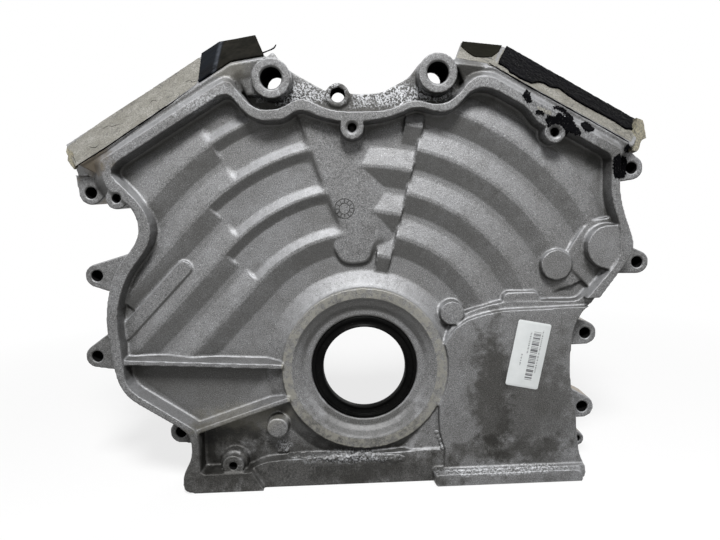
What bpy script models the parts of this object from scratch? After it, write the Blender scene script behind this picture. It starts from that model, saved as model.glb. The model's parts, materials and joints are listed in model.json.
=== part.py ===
"""Timing cover of a V engine, with the remains that are still stuck to it.

The casting stands on its oil-pan face. +X points to the right of someone who looks at the
front of the engine, +Z up and +Y from the front of the cover to the cylinder block.
Depths in this script are measured from the front plane of the rail towards the block.
"""

import math

import bmesh
import bpy
from mathutils import Matrix, Vector

# Overall sizes of the casting, in metres
COVER_DEPTH = 0.046
PAN_STRIP_MIDDLE = 0.009
RECESS_DEPTH = 0.016
FLOOR_WALL = 0.005
RECESS_DRAFT = 0.0011
SEAT_GAP = 0.0003

# Crankshaft opening and its seal
CRANK_HEIGHT = 0.1015
SEAL_DIAMETER = 0.090
SEAL_WIDTH = 0.012
SEAL_SECTION = 0.010
SEAL_FACE_DEPTH = 0.0115
BORE_STOP = 0.003
RING_FACE_DEPTH = 0.006
RING_OUTER_DIAMETER = 0.1394
RING_INNER_DIAMETER = 0.1224
CONE_DIAMETER = 0.168
BACK_BOSS_HEIGHT = 0.010
SPRING_WIRE = 0.0022
SPRING_INSET = 0.0040
LIP_WALL = 0.0019
SEAL_WEB_INSET = 0.0022

# Cylinder heads: both faces lean at the bank angle and flare towards the block
BANK_ANGLE = math.radians(30.0)
HEAD_FACE_NEAR = 0.2685
HEAD_FLARE = 0.028
HEAD_FACE_DEPTH = 0.009
HEAD_LIP = 0.0025
HEAD_WEDGE = 0.0185
HEAD_RAIL_DROP = 0.0104
HEAD_RAIL_WIDTH = 0.0078
HEAD_BODY_DROP = 0.0080
HEAD_WALL = 0.0127

# Bolts, dowels and threaded holes
BOLT_HOLE = 0.0092
EAR_RADIUS = 0.0098
EAR_DEPTH = 0.020
BIG_BORE = 0.0162
BIG_BOSS_RADIUS = 0.0155
BIG_BOSS_CHAMFER = 0.0014
SMALL_BORE = 0.0115
SMALL_BOSS_RADIUS = 0.0097
SMALL_BOSS_DEPTH = 0.019
THREAD_HOLE = 0.0066
THREAD_DEPTH = 0.014
PAN_HOLE = 0.0066
PAN_HOLE_DEPTH = 0.012

# Ripples of the front wall, rings about the crankshaft
RIPPLE_FIRST = 0.115
RIPPLE_PITCH = 0.0367
RIPPLE_HEIGHT = 0.0042
RIPPLE_CREST = 0.0012
RIPPLE_BASE_GAP = 0.0004
RIPPLE_SINK = 0.0005
NARROW_RIPPLE = 0.0085
RIPPLE_STEP_ANGLE = math.radians(4.0)

# Ribs, pads and the raised panel
RIB_FRONT_DEPTH = 0.003
RIB_THICKNESS = 0.0042
RIB_FOOT = 0.0085
PANEL_DEPTH = 0.003
PANEL_RIM_DEPTH = 0.008
STRIP_DEPTH = 0.006
LIP_PROUD = 0.005
LIP_HEIGHT = 0.0135
BACK_RIB_HEIGHT = 0.009
BACK_RIB_THICKNESS = 0.0045

# Remains and label
LABEL_LENGTH = 0.057
LABEL_WIDTH = 0.028
LABEL_THICKNESS = 0.0003
LABEL_LEAN = math.radians(-12.0)
LABEL_CENTRE = (0.1377, 0.1101)
LEFT_GASKET_THICKNESS = 0.0018
RIGHT_GASKET_THICKNESS = 0.0016
PATCH_THICKNESS = 0.0008

# How finely round shapes are cut into facets
CORNER_STEPS = 4
BIG_ROUND = 52
MEDIUM_ROUND = 26
SMALL_ROUND = 20

FLOOR_DEPTH = RECESS_DEPTH + FLOOR_WALL
HEAD_FACE_FAR = HEAD_FACE_NEAR + HEAD_FLARE
HEAD_RAIL = HEAD_FACE_NEAR - HEAD_RAIL_DROP
HEAD_BODY = HEAD_FACE_FAR - HEAD_BODY_DROP
SEAL_LIP = SEAL_DIAMETER / 2 - SEAL_SECTION
SINK = 0.002
OVERRUN = 0.006
CLEAR_BESIDE = 0.3
CLEAR_BELOW = 0.03
MERGE_DISTANCE = 0.000005
FLAT_ANGLE = math.radians(0.05)


def at(depth):
    """World Y of a depth behind the rail's front plane."""
    return depth - PAN_STRIP_MIDDLE


def rounded(corners):
    """Closed outline whose corners (x, z, reach) become short curves."""
    outline = []
    count = len(corners)
    for index, (x, z, reach) in enumerate(corners):
        corner = Vector((x, z))
        to_last = Vector(corners[index - 1][:2]) - corner
        to_next = Vector(corners[(index + 1) % count][:2]) - corner
        start = corner + to_last.normalized() * min(reach, 0.48 * to_last.length)
        end = corner + to_next.normalized() * min(reach, 0.48 * to_next.length)
        for step in range(CORNER_STEPS + 1):
            t = step / CORNER_STEPS
            outline.append(start * (1 - t) ** 2 + corner * 2 * t * (1 - t) + end * t ** 2)
    return outline


def paired(corners):
    """Front and back outline of a wall that flares: (x, z, reach, back x, back z, back reach)."""
    front = rounded([corner[0:3] for corner in corners])
    back = rounded([corner[3:6] for corner in corners])
    return front, back


def signed_area(outline):
    total = 0.0
    for index, point in enumerate(outline):
        total += outline[index - 1].x * point.y - point.x * outline[index - 1].y
    return total / 2


def grown(outline, distance):
    """Outline moved outwards by a small distance."""
    side = 1.0 if signed_area(outline) > 0 else -1.0
    result = []
    count = len(outline)
    for index, point in enumerate(outline):
        along = outline[(index + 1) % count] - outline[index - 1]
        normal = Vector((along.y, -along.x)).normalized() * side
        result.append(point + normal * distance)
    return result


def hull(points):
    """Convex outline round a set of points."""
    ordered = sorted({(round(p[0], 7), round(p[1], 7)) for p in points})
    halves = []
    for sequence in (ordered, ordered[::-1]):
        half = []
        for point in sequence:
            while len(half) > 1:
                ax, az = half[-1][0] - half[-2][0], half[-1][1] - half[-2][1]
                bx, bz = point[0] - half[-1][0], point[1] - half[-1][1]
                if ax * bz - az * bx > 0:
                    break
                half.pop()
            half.append(point)
        halves += half[:-1]
    return [Vector(point) for point in halves]


def circle(centre, radius, count):
    outline = []
    for index in range(count):
        angle = 2 * math.pi * index / count
        outline.append(Vector((centre[0] + radius * math.cos(angle), centre[1] + radius * math.sin(angle))))
    return outline


def skin(name, rings, closed=False):
    """Solid through rings of as many points each, capped at both ends unless it closes on itself."""
    mesh = bpy.data.meshes.new(name)
    shape = bmesh.new()
    rows = [[shape.verts.new(point) for point in ring] for ring in rings]
    size = len(rings[0])
    pairs = list(zip(rows, rows[1:]))
    if closed:
        pairs.append((rows[-1], rows[0]))
    for lower, upper in pairs:
        for index in range(size):
            after = (index + 1) % size
            shape.faces.new((lower[index], lower[after], upper[after], upper[index]))
    if not closed:
        shape.faces.new(rows[0][::-1])
        shape.faces.new(rows[-1])
    bmesh.ops.remove_doubles(shape, verts=shape.verts[:], dist=1e-6)
    bmesh.ops.triangulate(shape, faces=shape.faces[:])
    bmesh.ops.recalc_face_normals(shape, faces=shape.faces[:])
    shape.to_mesh(mesh)
    shape.free()
    solid = bpy.data.objects.new(name, mesh)
    bpy.context.scene.collection.objects.link(solid)
    return solid


def layer(outline, depth):
    return [Vector((point.x, at(depth), point.y)) for point in outline]


def prism(name, outline, front, back, back_outline=None):
    """Solid between two depths, straight or flaring to another outline."""
    far = outline if back_outline is None else back_outline
    return skin(name, [layer(outline, front), layer(far, back)])


def post(name, centre, radius, front, back, count=SMALL_ROUND, back_radius=None):
    far_radius = radius if back_radius is None else back_radius
    return prism(name, circle(centre, radius, count), front, back, circle(centre, far_radius, count))


def turned(name, profile, centre, count):
    """Solid of revolution about the Y axis through centre, from (radius, depth) points."""
    rings = []
    for index in range(count):
        angle = 2 * math.pi * index / count
        ring = []
        for radius, depth in profile:
            x = centre[0] + radius * math.cos(angle)
            z = centre[1] + radius * math.sin(angle)
            ring.append(Vector((x, at(depth), z)))
        rings.append(ring)
    return skin(name, rings, closed=True)


def is_closed(mesh):
    shape = bmesh.new()
    shape.from_mesh(mesh)
    closed = len(shape.faces) > 0 and all(len(edge.link_faces) == 2 for edge in shape.edges)
    shape.free()
    return closed


def apply_boolean(solid, tool, operation):
    """Join, cut or intersect with a helper, which is then gone."""
    before = solid.data.copy()
    for solver in ("EXACT", "MANIFOLD"):
        modifier = solid.modifiers.new(operation.lower(), "BOOLEAN")
        modifier.operation = operation
        modifier.object = tool
        modifier.solver = solver
        bpy.context.view_layer.objects.active = solid
        bpy.ops.object.modifier_apply(modifier=modifier.name)
        if is_closed(solid.data):
            break
        solid.data = before.copy()
    bpy.data.objects.remove(tool)


def settle(solid):
    """Merge facets that lie in one plane, so that the next cut meets clean faces."""
    shape = bmesh.new()
    shape.from_mesh(solid.data)
    bmesh.ops.remove_doubles(shape, verts=shape.verts[:], dist=MERGE_DISTANCE)
    bmesh.ops.dissolve_limit(shape, angle_limit=FLAT_ANGLE, verts=shape.verts[:], edges=shape.edges[:])
    bmesh.ops.triangulate(shape, faces=shape.faces[:])
    shape.to_mesh(solid.data)
    shape.free()


def join(solid, *tools):
    for tool in tools:
        apply_boolean(solid, tool, "UNION")


def cut(solid, *tools):
    for tool in tools:
        apply_boolean(solid, tool, "DIFFERENCE")


# The casting's outlines, seen from the front, clockwise from the foot of the left leg

CRANK = (0.0, CRANK_HEIGHT)
LEFT_BOSS = (-0.0655, 0.341)
RIGHT_BOSS = (0.0655, 0.341)
SMALL_BOSS = (-0.0142, 0.3294)


def bank_point(side, distance, along):
    """Point on a line parallel to a head face; along runs outwards from the cover's middle plane."""
    normal = Vector((side * math.sin(BANK_ANGLE), math.cos(BANK_ANGLE)))
    outwards = Vector((side * math.cos(BANK_ANGLE), -math.sin(BANK_ANGLE)))
    return Vector(CRANK) + normal * distance + outwards * along


def beside(place, *corner):
    """Corner of an outline given from a boss's centre, as rounded() or paired() takes it."""
    shifted = []
    for index in range(0, len(corner), 3):
        shifted += [place[0] + corner[index], place[1] + corner[index + 1], corner[index + 2]]
    return tuple(shifted)


def head_corner(side, rail_along, reach, body_along, body_reach):
    """Corner of the casting beside a head face, as paired() takes it."""
    rail, body = bank_point(side, HEAD_RAIL, rail_along), bank_point(side, HEAD_BODY, body_along)
    return (rail.x, rail.y, reach, body.x, body.y, body_reach)


def rail_corner(side, along, reach):
    """Corner of the recess beside a head face."""
    place = bank_point(side, HEAD_RAIL - HEAD_RAIL_WIDTH, along)
    return (place.x, place.y, reach)


def cavity_corner(side, deep_along, reach, mouth_along, mouth_reach):
    """Corner of the chain side under a head face, one wall away from it at both depths."""
    slope = HEAD_FLARE / (COVER_DEPTH - HEAD_FACE_DEPTH)
    at_floor = HEAD_FACE_NEAR + slope * (FLOOR_DEPTH - HEAD_FACE_DEPTH) - HEAD_WALL
    deep = bank_point(side, at_floor, deep_along)
    mouth = bank_point(side, HEAD_FACE_FAR - HEAD_WALL, mouth_along)
    return (deep.x, deep.y, reach, mouth.x, mouth.y, mouth_reach)


LEFT_SIDE = [
    (-0.158, 0.000, 0.009, -0.158, 0.000, 0.009),
    (-0.158, 0.016, 0.008, -0.158, 0.016, 0.008),
    (-0.1485, 0.032, 0.008, -0.150, 0.032, 0.008),
    (-0.1490, 0.053, 0.009, -0.152, 0.053, 0.009),
    (-0.204, 0.090, 0.016, -0.207, 0.090, 0.016),
    (-0.2095, 0.125, 0.020, -0.2125, 0.125, 0.020),
    (-0.211, 0.160, 0.018, -0.214, 0.160, 0.018),
    (-0.201, 0.193, 0.014, -0.203, 0.195, 0.014),
    (-0.176, 0.221, 0.016, -0.178, 0.223, 0.016),
    (-0.181, 0.245, 0.014, -0.186, 0.243, 0.012),
    (-0.2015, 0.260, 0.008, -0.236, 0.252, 0.010),
    head_corner(-1, 0.0871, 0.004, 0.1192, 0.005),
]

TOP_EDGE = [
    head_corner(-1, -0.0267, 0.010, -0.0228, 0.008),
    beside(LEFT_BOSS, -0.0330, 0.0000, 0.007, -0.0385, 0.0240, 0.006),
    beside(LEFT_BOSS, -0.0155, -0.0235, 0.012, -0.0160, -0.0225, 0.012),
    beside(LEFT_BOSS, 0.0055, -0.0245, 0.014, 0.0055, -0.0235, 0.014),
    beside(LEFT_BOSS, 0.0220, -0.0140, 0.01, 0.0220, -0.0130, 0.01),
    beside(SMALL_BOSS, -0.0068, -0.0149, 0.014, -0.0068, -0.0139, 0.014),
    beside(SMALL_BOSS, 0.0392, -0.0169, 0.018, 0.0392, -0.0159, 0.018),
    beside(RIGHT_BOSS, -0.0185, -0.0185, 0.014, -0.0185, -0.0175, 0.014),
    beside(RIGHT_BOSS, -0.0035, -0.0245, 0.012, -0.0035, -0.0235, 0.012),
    beside(RIGHT_BOSS, 0.0115, -0.0220, 0.012, 0.0120, -0.0210, 0.012),
    beside(RIGHT_BOSS, 0.0280, -0.0035, 0.01, 0.0280, 0.0190, 0.004),
    head_corner(1, -0.0260, 0.008, -0.0228, 0.008),
]

RIGHT_SIDE = [
    head_corner(1, 0.0948, 0.005, 0.1192, 0.005),
    (0.2105, 0.2400, 0.018, 0.2140, 0.2430, 0.018),
    (0.2260, 0.1965, 0.012, 0.2280, 0.1970, 0.012),
    (0.1915, 0.1500, 0.005, 0.1930, 0.1495, 0.005),
    (0.1850, 0.1475, 0.004, 0.1860, 0.1470, 0.004),
    (0.1765, 0.1335, 0.008, 0.1775, 0.1335, 0.008),
    (0.1732, 0.1080, 0.012, 0.1742, 0.1080, 0.012),
    (0.1740, 0.0820, 0.010, 0.1750, 0.0820, 0.010),
    (0.1780, 0.0660, 0.008, 0.1790, 0.0660, 0.008),
    (0.1800, 0.0400, 0.012, 0.1810, 0.0400, 0.012),
    (0.1822, 0.0200, 0.006, 0.1835, 0.0200, 0.006),
    (0.1870, 0.0100, 0.006, 0.1870, 0.0100, 0.006),
    (0.1870, 0.0000, 0.006, 0.1870, 0.0000, 0.006),
]

# The recess in front, from its lower left corner clockwise
RECESS = [
    (-0.1425, 0.0165, 0.004),
    (-0.1420, 0.0550, 0.008),
    (-0.1995, 0.0950, 0.012),
    (-0.2005, 0.1250, 0.012),
    (-0.2025, 0.1560, 0.014),
    (-0.1925, 0.1870, 0.014),
    (-0.1665, 0.2180, 0.016),
    (-0.1715, 0.2430, 0.012),
    (-0.1975, 0.2720, 0.005),
    rail_corner(-1, 0.0770, 0.004),
    rail_corner(-1, -0.0285, 0.009),
    beside(LEFT_BOSS, -0.0175, -0.0320, 0.013),
    beside(LEFT_BOSS, 0.0075, -0.0335, 0.012),
    beside(LEFT_BOSS, 0.0200, -0.0235, 0.008),
    beside(SMALL_BOSS, -0.0098, -0.0214, 0.012),
    beside(SMALL_BOSS, 0.0142, -0.0249, 0.016),
    beside(SMALL_BOSS, 0.0432, -0.0214, 0.012),
    beside(RIGHT_BOSS, -0.0170, -0.0245, 0.009),
    beside(RIGHT_BOSS, -0.0035, -0.0300, 0.01),
    beside(RIGHT_BOSS, 0.0110, -0.0305, 0.012),
    beside(RIGHT_BOSS, 0.0280, -0.0125, 0.009),
    rail_corner(1, -0.0197, 0.009),
    rail_corner(1, 0.0119, 0.007),
    (0.1460, 0.2975, 0.007),
    rail_corner(1, 0.0514, 0.007),
    rail_corner(1, 0.0912, 0.005),
    (0.2043, 0.2360, 0.012),
    (0.2130, 0.2140, 0.010),
    (0.2125, 0.1880, 0.009),
    (0.1825, 0.1530, 0.006),
    (0.1150, 0.1545, 0.012),
    (0.0800, 0.1450, 0.016),
    (0.0640, 0.1150, 0.012),
    (0.0620, 0.0480, 0.010),
    (0.0665, 0.0285, 0.005),
    (-0.0700, 0.0240, 0.010),
    (-0.0900, 0.0225, 0.008),
    (-0.1005, 0.0165, 0.005),
]

# The chain side behind the wall: deep outline, then the outline at the block face
CAVITY_LEFT = [
    (-0.1350, -0.0060, 0.004, -0.1370, -0.0060, 0.004),
    (-0.1340, 0.0540, 0.010, -0.1370, 0.0560, 0.010),
    (-0.1900, 0.0980, 0.014, -0.1940, 0.0980, 0.014),
    (-0.1955, 0.1560, 0.018, -0.1995, 0.1570, 0.018),
    (-0.1850, 0.1880, 0.014, -0.1880, 0.1900, 0.014),
    (-0.1610, 0.2190, 0.016, -0.1640, 0.2210, 0.016),
    (-0.1690, 0.2470, 0.012, -0.1710, 0.2500, 0.012),
    (-0.1900, 0.2680, 0.008, -0.2030, 0.2710, 0.010),
    cavity_corner(-1, 0.0717, 0.006, 0.0878, 0.008),
]
CAVITY_TOP = [
    cavity_corner(-1, -0.0238, 0.008, -0.0224, 0.008),
    beside(LEFT_BOSS, -0.0335, -0.0050, 0.008, -0.0275, 0.0200, 0.006),
    beside(LEFT_BOSS, -0.0185, -0.0290, 0.008, -0.0205, -0.0160, 0.008),
    beside(LEFT_BOSS, 0.0015, -0.0350, 0.01, 0.0015, -0.0250, 0.01),
    beside(LEFT_BOSS, 0.0225, -0.0310, 0.008, 0.0235, -0.0200, 0.008),
    beside(SMALL_BOSS, 0.0002, -0.0274, 0.012, 0.0002, -0.0174, 0.012),
    beside(SMALL_BOSS, 0.0342, -0.0244, 0.01, 0.0342, -0.0114, 0.01),
    beside(RIGHT_BOSS, -0.0225, -0.0310, 0.008, -0.0235, -0.0200, 0.008),
    beside(RIGHT_BOSS, -0.0015, -0.0350, 0.01, -0.0015, -0.0250, 0.01),
    beside(RIGHT_BOSS, 0.0185, -0.0290, 0.008, 0.0205, -0.0160, 0.008),
    beside(RIGHT_BOSS, 0.0335, -0.0050, 0.008, 0.0295, 0.0200, 0.006),
    cavity_corner(1, -0.0238, 0.008, -0.0224, 0.008),
]
CAVITY_RIGHT = [
    cavity_corner(1, 0.0757, 0.006, 0.0878, 0.008),
    (0.1960, 0.2380, 0.014, 0.1990, 0.2400, 0.014),
    (0.2080, 0.1990, 0.012, 0.2110, 0.1990, 0.012),
    (0.1760, 0.1560, 0.010, 0.1780, 0.1560, 0.010),
    (0.1600, 0.1050, 0.012, 0.1620, 0.1050, 0.012),
    (0.1620, -0.0060, 0.004, 0.1640, -0.0060, 0.004),
]

# Ears with a bolt hole: centre, the two places where the ear runs into the wall, front depth
EARS = [
    ((-0.2206, 0.2572), (-0.232, 0.272), (-0.196, 0.268), 0.018),
    ((-0.2229, 0.1878), (-0.186, 0.208), (-0.203, 0.170), EAR_DEPTH),
    ((-0.2289, 0.1181), (-0.206, 0.146), (-0.204, 0.104), EAR_DEPTH),
    ((-0.1621, 0.0473), (-0.160, 0.062), (-0.147, 0.036), EAR_DEPTH),
    ((0.2292, 0.2624), (0.226, 0.278), (0.209, 0.250), EAR_DEPTH),
    ((0.2360, 0.1829), (0.222, 0.200), (0.210, 0.174), EAR_DEPTH),
    ((0.1922, 0.1225), (0.178, 0.138), (0.172, 0.112), EAR_DEPTH),
    ((0.1906, 0.0562), (0.172, 0.078), (0.175, 0.046), EAR_DEPTH),
]


def casting_body():
    front, back = paired(LEFT_SIDE + TOP_EDGE + RIGHT_SIDE)
    return prism("timing_cover_casting", front, 0.0, COVER_DEPTH, back)


# Where the head faces bend and end, measured along the bank from the cover's middle line
NEAR_KNEE = {-1: -0.043, 1: -0.026}
FAR_KNEE = {-1: -0.0415, 1: -0.022}
NEAR_END = 0.106
FAR_END = 0.118
FACET_NEAR_END = {-1: -0.0700, 1: 0.0797}
FACET_FAR_END = {-1: -0.0808, 1: 0.0923}
FACET_RISE = {-1: 0.140, 1: 0.128}
# Foot of the wedge under a head face: inset from the outer end, place of its turn, and its inner end
WEDGE_END_INSET = (0.010, 0.006)
WEDGE_TURN = -0.010
WEDGE_INNER_FOOT = ((0.088, 0.334), (0.084, 0.345))


def facet_corner(side, knee, end):
    """Inner end of a facet's edge, which rises from the knee at the facet's slope."""
    return Vector((end, knee.y + abs(end - knee.x) * FACET_RISE[side]))


def head_stations(side):
    """Near and far edge of a head face at its outer end, its knee and its inner end."""
    outer = (bank_point(side, HEAD_FACE_NEAR, NEAR_END), bank_point(side, HEAD_FACE_FAR, FAR_END))
    knee = (bank_point(side, HEAD_FACE_NEAR, NEAR_KNEE[side]),
            bank_point(side, HEAD_FACE_FAR, FAR_KNEE[side]))
    inner = (facet_corner(side, knee[0], FACET_NEAR_END[side]),
             facet_corner(side, knee[1], FACET_FAR_END[side]))
    return outer, knee, inner


def head_wedge(side):
    """Solid under one inclined head-cover face and the short facet at its top."""
    foot = HEAD_FACE_NEAR - HEAD_WEDGE
    feet = [
        tuple(bank_point(side, foot, NEAR_END - inset) for inset in WEDGE_END_INSET),
        (bank_point(side, foot, WEDGE_TURN), bank_point(side, foot, WEDGE_TURN)),
        tuple(Vector((side * x, z)) for x, z in WEDGE_INNER_FOOT),
    ]
    rings = []
    for (near, far), (front_foot, back_foot) in zip(head_stations(side), feet):
        inwards = (front_foot - near).normalized()
        lip = near + inwards * HEAD_LIP
        rings.append([
            Vector((front_foot.x, at(HEAD_FACE_DEPTH + HEAD_LIP), front_foot.y)),
            Vector((lip.x, at(HEAD_FACE_DEPTH - HEAD_LIP), lip.y)),
            Vector((near.x, at(HEAD_FACE_DEPTH), near.y)),
            Vector((far.x, at(COVER_DEPTH), far.y)),
            Vector((back_foot.x, at(COVER_DEPTH), back_foot.y)),
        ])
    return skin("head_wedge", rings)


def ear(centre, first_root, second_root, front):
    """Bolt ear that widens towards the wall it grows from."""
    outline = hull(circle(centre, EAR_RADIUS, MEDIUM_ROUND) + [first_root, second_root])
    return prism("ear", outline, front, COVER_DEPTH)


def add_ears(casting):
    for centre, first_root, second_root, front in EARS:
        join(casting, ear(centre, first_root, second_root, front))
    join(casting, prism("small_ear", hull(circle(SMALL_EAR, SMALL_EAR_RADIUS, SMALL_ROUND)
                                          + [(0.171, 0.044), (0.173, 0.014)]), EAR_DEPTH, COVER_DEPTH))
    join(casting, post("side_boss", SIDE_BOSS, SIDE_BOSS_RADIUS, 0.001, COVER_DEPTH, MEDIUM_ROUND))


# Back flange of the valley between the heads, and the web from the left apex to its big boss
TOP_FLANGE = [
    beside(LEFT_BOSS, -0.0245, -0.0310, 0.001),
    beside(LEFT_BOSS, -0.0245, 0.0150, 0.001),
    beside(LEFT_BOSS, -0.0065, 0.0175, 0.001),
    beside(LEFT_BOSS, 0.0005, 0.0222, 0.002),
    beside(LEFT_BOSS, 0.0120, 0.0095, 0.006),
    beside(SMALL_BOSS, -0.0108, 0.0041, 0.006),
    beside(SMALL_BOSS, 0.0142, 0.0003, 0.008),
    beside(SMALL_BOSS, 0.0357, 0.0006, 0.006),
    beside(RIGHT_BOSS, -0.0215, 0.0000, 0.005),
    beside(RIGHT_BOSS, -0.0105, 0.0135, 0.006),
    beside(RIGHT_BOSS, 0.0025, 0.0182, 0.005),
    beside(RIGHT_BOSS, 0.0145, 0.0145, 0.002),
    beside(RIGHT_BOSS, 0.0245, 0.0090, 0.001),
    beside(RIGHT_BOSS, 0.0245, -0.0310, 0.001),
]
APEX_WEB = [
    beside(LEFT_BOSS, -0.0215, -0.0110, 0.001),
    beside(LEFT_BOSS, -0.0280, 0.0120, 0.002),
    beside(LEFT_BOSS, -0.0060, 0.0162, 0.001),
    beside(LEFT_BOSS, 0.0015, 0.0220, 0.002),
    beside(LEFT_BOSS, 0.0065, 0.0150, 0.002),
    beside(LEFT_BOSS, 0.0000, -0.0110, 0.001),
]
APEX_WEB_DEPTH = 0.0095


def add_top_bosses(casting):
    """Flange, web, two big bosses for bolts with dowels, and the small boss between them."""
    join(casting, prism("top_flange", rounded(TOP_FLANGE), EAR_DEPTH, COVER_DEPTH))
    join(casting, prism("apex_web", rounded(APEX_WEB), APEX_WEB_DEPTH, COVER_DEPTH))
    for centre in (LEFT_BOSS, RIGHT_BOSS):
        join(casting, post("big_boss", centre, BIG_BOSS_RADIUS, 0.0, COVER_DEPTH, MEDIUM_ROUND + 8))
    join(casting, post("small_boss", SMALL_BOSS, SMALL_BOSS_RADIUS, SMALL_BOSS_DEPTH, COVER_DEPTH,
                       MEDIUM_ROUND))


def stack(name, centre, profile, count):
    """Turned solid on the Y axis through centre, from (radius, depth) pairs."""
    return skin(name, [layer(circle(centre, radius, count), depth) for radius, depth in profile])


def cut_recess(casting):
    mouth = rounded(RECESS)
    floor = grown(mouth, -RECESS_DRAFT)
    overrun = grown(mouth, RECESS_DRAFT * OVERRUN / RECESS_DEPTH)
    cut(casting, prism("recess", overrun, -OVERRUN, RECESS_DEPTH, floor))


def cut_cavity(casting):
    deep, mouth = paired(CAVITY_LEFT + CAVITY_TOP + CAVITY_RIGHT)
    beyond = [m + (m - d) * (OVERRUN / (COVER_DEPTH - FLOOR_DEPTH)) for d, m in zip(deep, mouth)]
    cut(casting, prism("cavity", deep, FLOOR_DEPTH, COVER_DEPTH + OVERRUN, beyond))


PANEL = [
    (0.0645, LIP_HEIGHT - 0.001, 0.001),
    (0.0648, 0.0290, 0.004),
    (0.0600, 0.0490, 0.008),
    (0.0625, 0.1130, 0.012),
    (0.0790, 0.1400, 0.016),
    (0.1120, 0.1485, 0.014),
    (0.2050, 0.1495, 0.002),
    (0.2050, LIP_HEIGHT - 0.001, 0.002),
]
PANEL_RIM_WIDTH = 0.0075
PANEL_RIM_FOOT = 0.110
RIM_OVERLAP = 0.0004
STRIP = [(-0.0860, -0.0060, 0.001), (-0.1060, 0.0300, 0.002),
         (0.0668, 0.0310, 0.001), (0.0645, -0.0060, 0.001)]
# Ledge that brings the floor up to the panel under the ring: its front outline, then its foot on the floor
PANEL_FOOT = [
    (0.0340, 0.0220, 0.001, 0.0180, 0.0220, 0.001),
    (0.0470, 0.0440, 0.008, 0.0380, 0.0480, 0.010),
    (0.0560, 0.0720, 0.008, 0.0520, 0.0780, 0.010),
    (0.0640, 0.0950, 0.001, 0.0640, 0.1000, 0.001),
    (0.0690, 0.0220, 0.001, 0.0690, 0.0220, 0.001),
]
RING_CLEARANCE = 0.0010
PAN_LIP = [(0.0560, 0.0, 0.001), (0.0540, LIP_HEIGHT, 0.005),
           (0.1840, LIP_HEIGHT, 0.006), (0.1860, 0.0, 0.001)]
PAN_LIP_FRONT = [(0.0575, 0.0, 0.001), (0.0570, LIP_HEIGHT - 0.0035, 0.004),
                 (0.1810, LIP_HEIGHT - 0.0035, 0.005), (0.1830, 0.0, 0.001)]


def shape_lower_front(casting):
    """Raised panel with its stepped rim, the set-back strip and the lip along the pan face."""
    panel = rounded(PANEL)
    rim = prism("rim", grown(panel, PANEL_RIM_WIDTH), -OVERRUN, PANEL_RIM_DEPTH)
    cut(rim, prism("rim_inner", panel, -2 * OVERRUN, 2 * PANEL_RIM_DEPTH))
    below = [Vector((0.0, -CLEAR_BELOW)), Vector((0.0, PANEL_RIM_FOOT)),
             Vector((CLEAR_BESIDE, PANEL_RIM_FOOT)), Vector((CLEAR_BESIDE, -CLEAR_BELOW))]
    cut(rim, prism("rim_lower", below, -2 * OVERRUN, 2 * PANEL_RIM_DEPTH))
    cut(casting, rim)
    cut(casting, prism("panel", grown(panel, RIM_OVERLAP), -OVERRUN, PANEL_DEPTH))
    cut(casting, prism("strip", rounded(STRIP), -OVERRUN, STRIP_DEPTH))
    top, foot = paired(PANEL_FOOT)
    join(casting, prism("panel_foot", top, PANEL_RIM_DEPTH, RECESS_DEPTH + RIPPLE_SINK, foot))
    cut(casting, post("ring_clearance", CRANK, RING_OUTER_DIAMETER / 2 + RING_CLEARANCE, -OVERRUN,
                      PANEL_RIM_DEPTH, BIG_ROUND))
    join(casting, prism("pan_lip", rounded(PAN_LIP_FRONT), -LIP_PROUD, PANEL_RIM_DEPTH, rounded(PAN_LIP)))


# Ripples: crest number, then spans (from angle, to angle, inner base, outer base)
WIDE = RIPPLE_PITCH / 2 - RIPPLE_BASE_GAP
NARROW = NARROW_RIPPLE
LEFT_RIPPLES = [
    (0, [(95.5, 138.3, WIDE, NARROW), (138.0, 177.5, WIDE, WIDE)]),
    (1, [(98.5, 131.5, NARROW, NARROW), (131.2, 138.3, NARROW, WIDE), (138.0, 175.5, WIDE, WIDE)]),
    (2, [(99.5, 122.0, NARROW, NARROW), (121.7, 131.5, NARROW, WIDE), (131.2, 162.0, WIDE, WIDE)]),
    (3, [(101.0, 122.0, NARROW, NARROW), (121.7, 144.0, WIDE, WIDE)]),
]
RIGHT_RIPPLES = [(0, 18.0, 75.0), (1, 16.0, 75.0), (2, 20.0, 75.0), (3, 26.0, 75.0)]
MIDDLE_RIPPLES = [(-0.5, 74.7, 82.0), (0.5, 74.7, 86.0), (1.5, 74.7, 90.0), (2.5, 74.7, 79.0)]
STRAIGHT_FROM = math.radians(135.0)
# Flat middle of the wall, level with the crests: its top outline, then its foot on the floor
PLATEAU_DEPTH = RECESS_DEPTH - RIPPLE_HEIGHT + 0.0003
PLATEAU = [
    (-0.0475, 0.3185, 0.002, -0.0500, 0.3190, 0.002),
    (-0.0300, 0.3130, 0.006, -0.0300, 0.3130, 0.006),
    (-0.0020, 0.3085, 0.002, 0.0080, 0.3085, 0.002),
    (-0.0010, 0.2960, 0.010, 0.0105, 0.2900, 0.010),
    (0.0040, 0.2720, 0.012, 0.0180, 0.2715, 0.012),
    (0.0130, 0.2345, 0.012, 0.0275, 0.2350, 0.012),
    (0.0155, 0.2130, 0.006, 0.0290, 0.2050, 0.008),
    (0.0100, 0.2060, 0.003, 0.0130, 0.2000, 0.006),
    (0.0060, 0.1915, 0.007, 0.0075, 0.1897, 0.008),
    (-0.0150, 0.1910, 0.008, -0.0165, 0.1892, 0.009),
    (-0.0225, 0.2060, 0.006, -0.0245, 0.2060, 0.007),
    (-0.0139, 0.2180, 0.004, -0.0165, 0.2185, 0.004),
    (-0.0273, 0.2530, 0.012, -0.0300, 0.2535, 0.012),
    (-0.0395, 0.2897, 0.012, -0.0422, 0.2905, 0.012),
]


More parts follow.
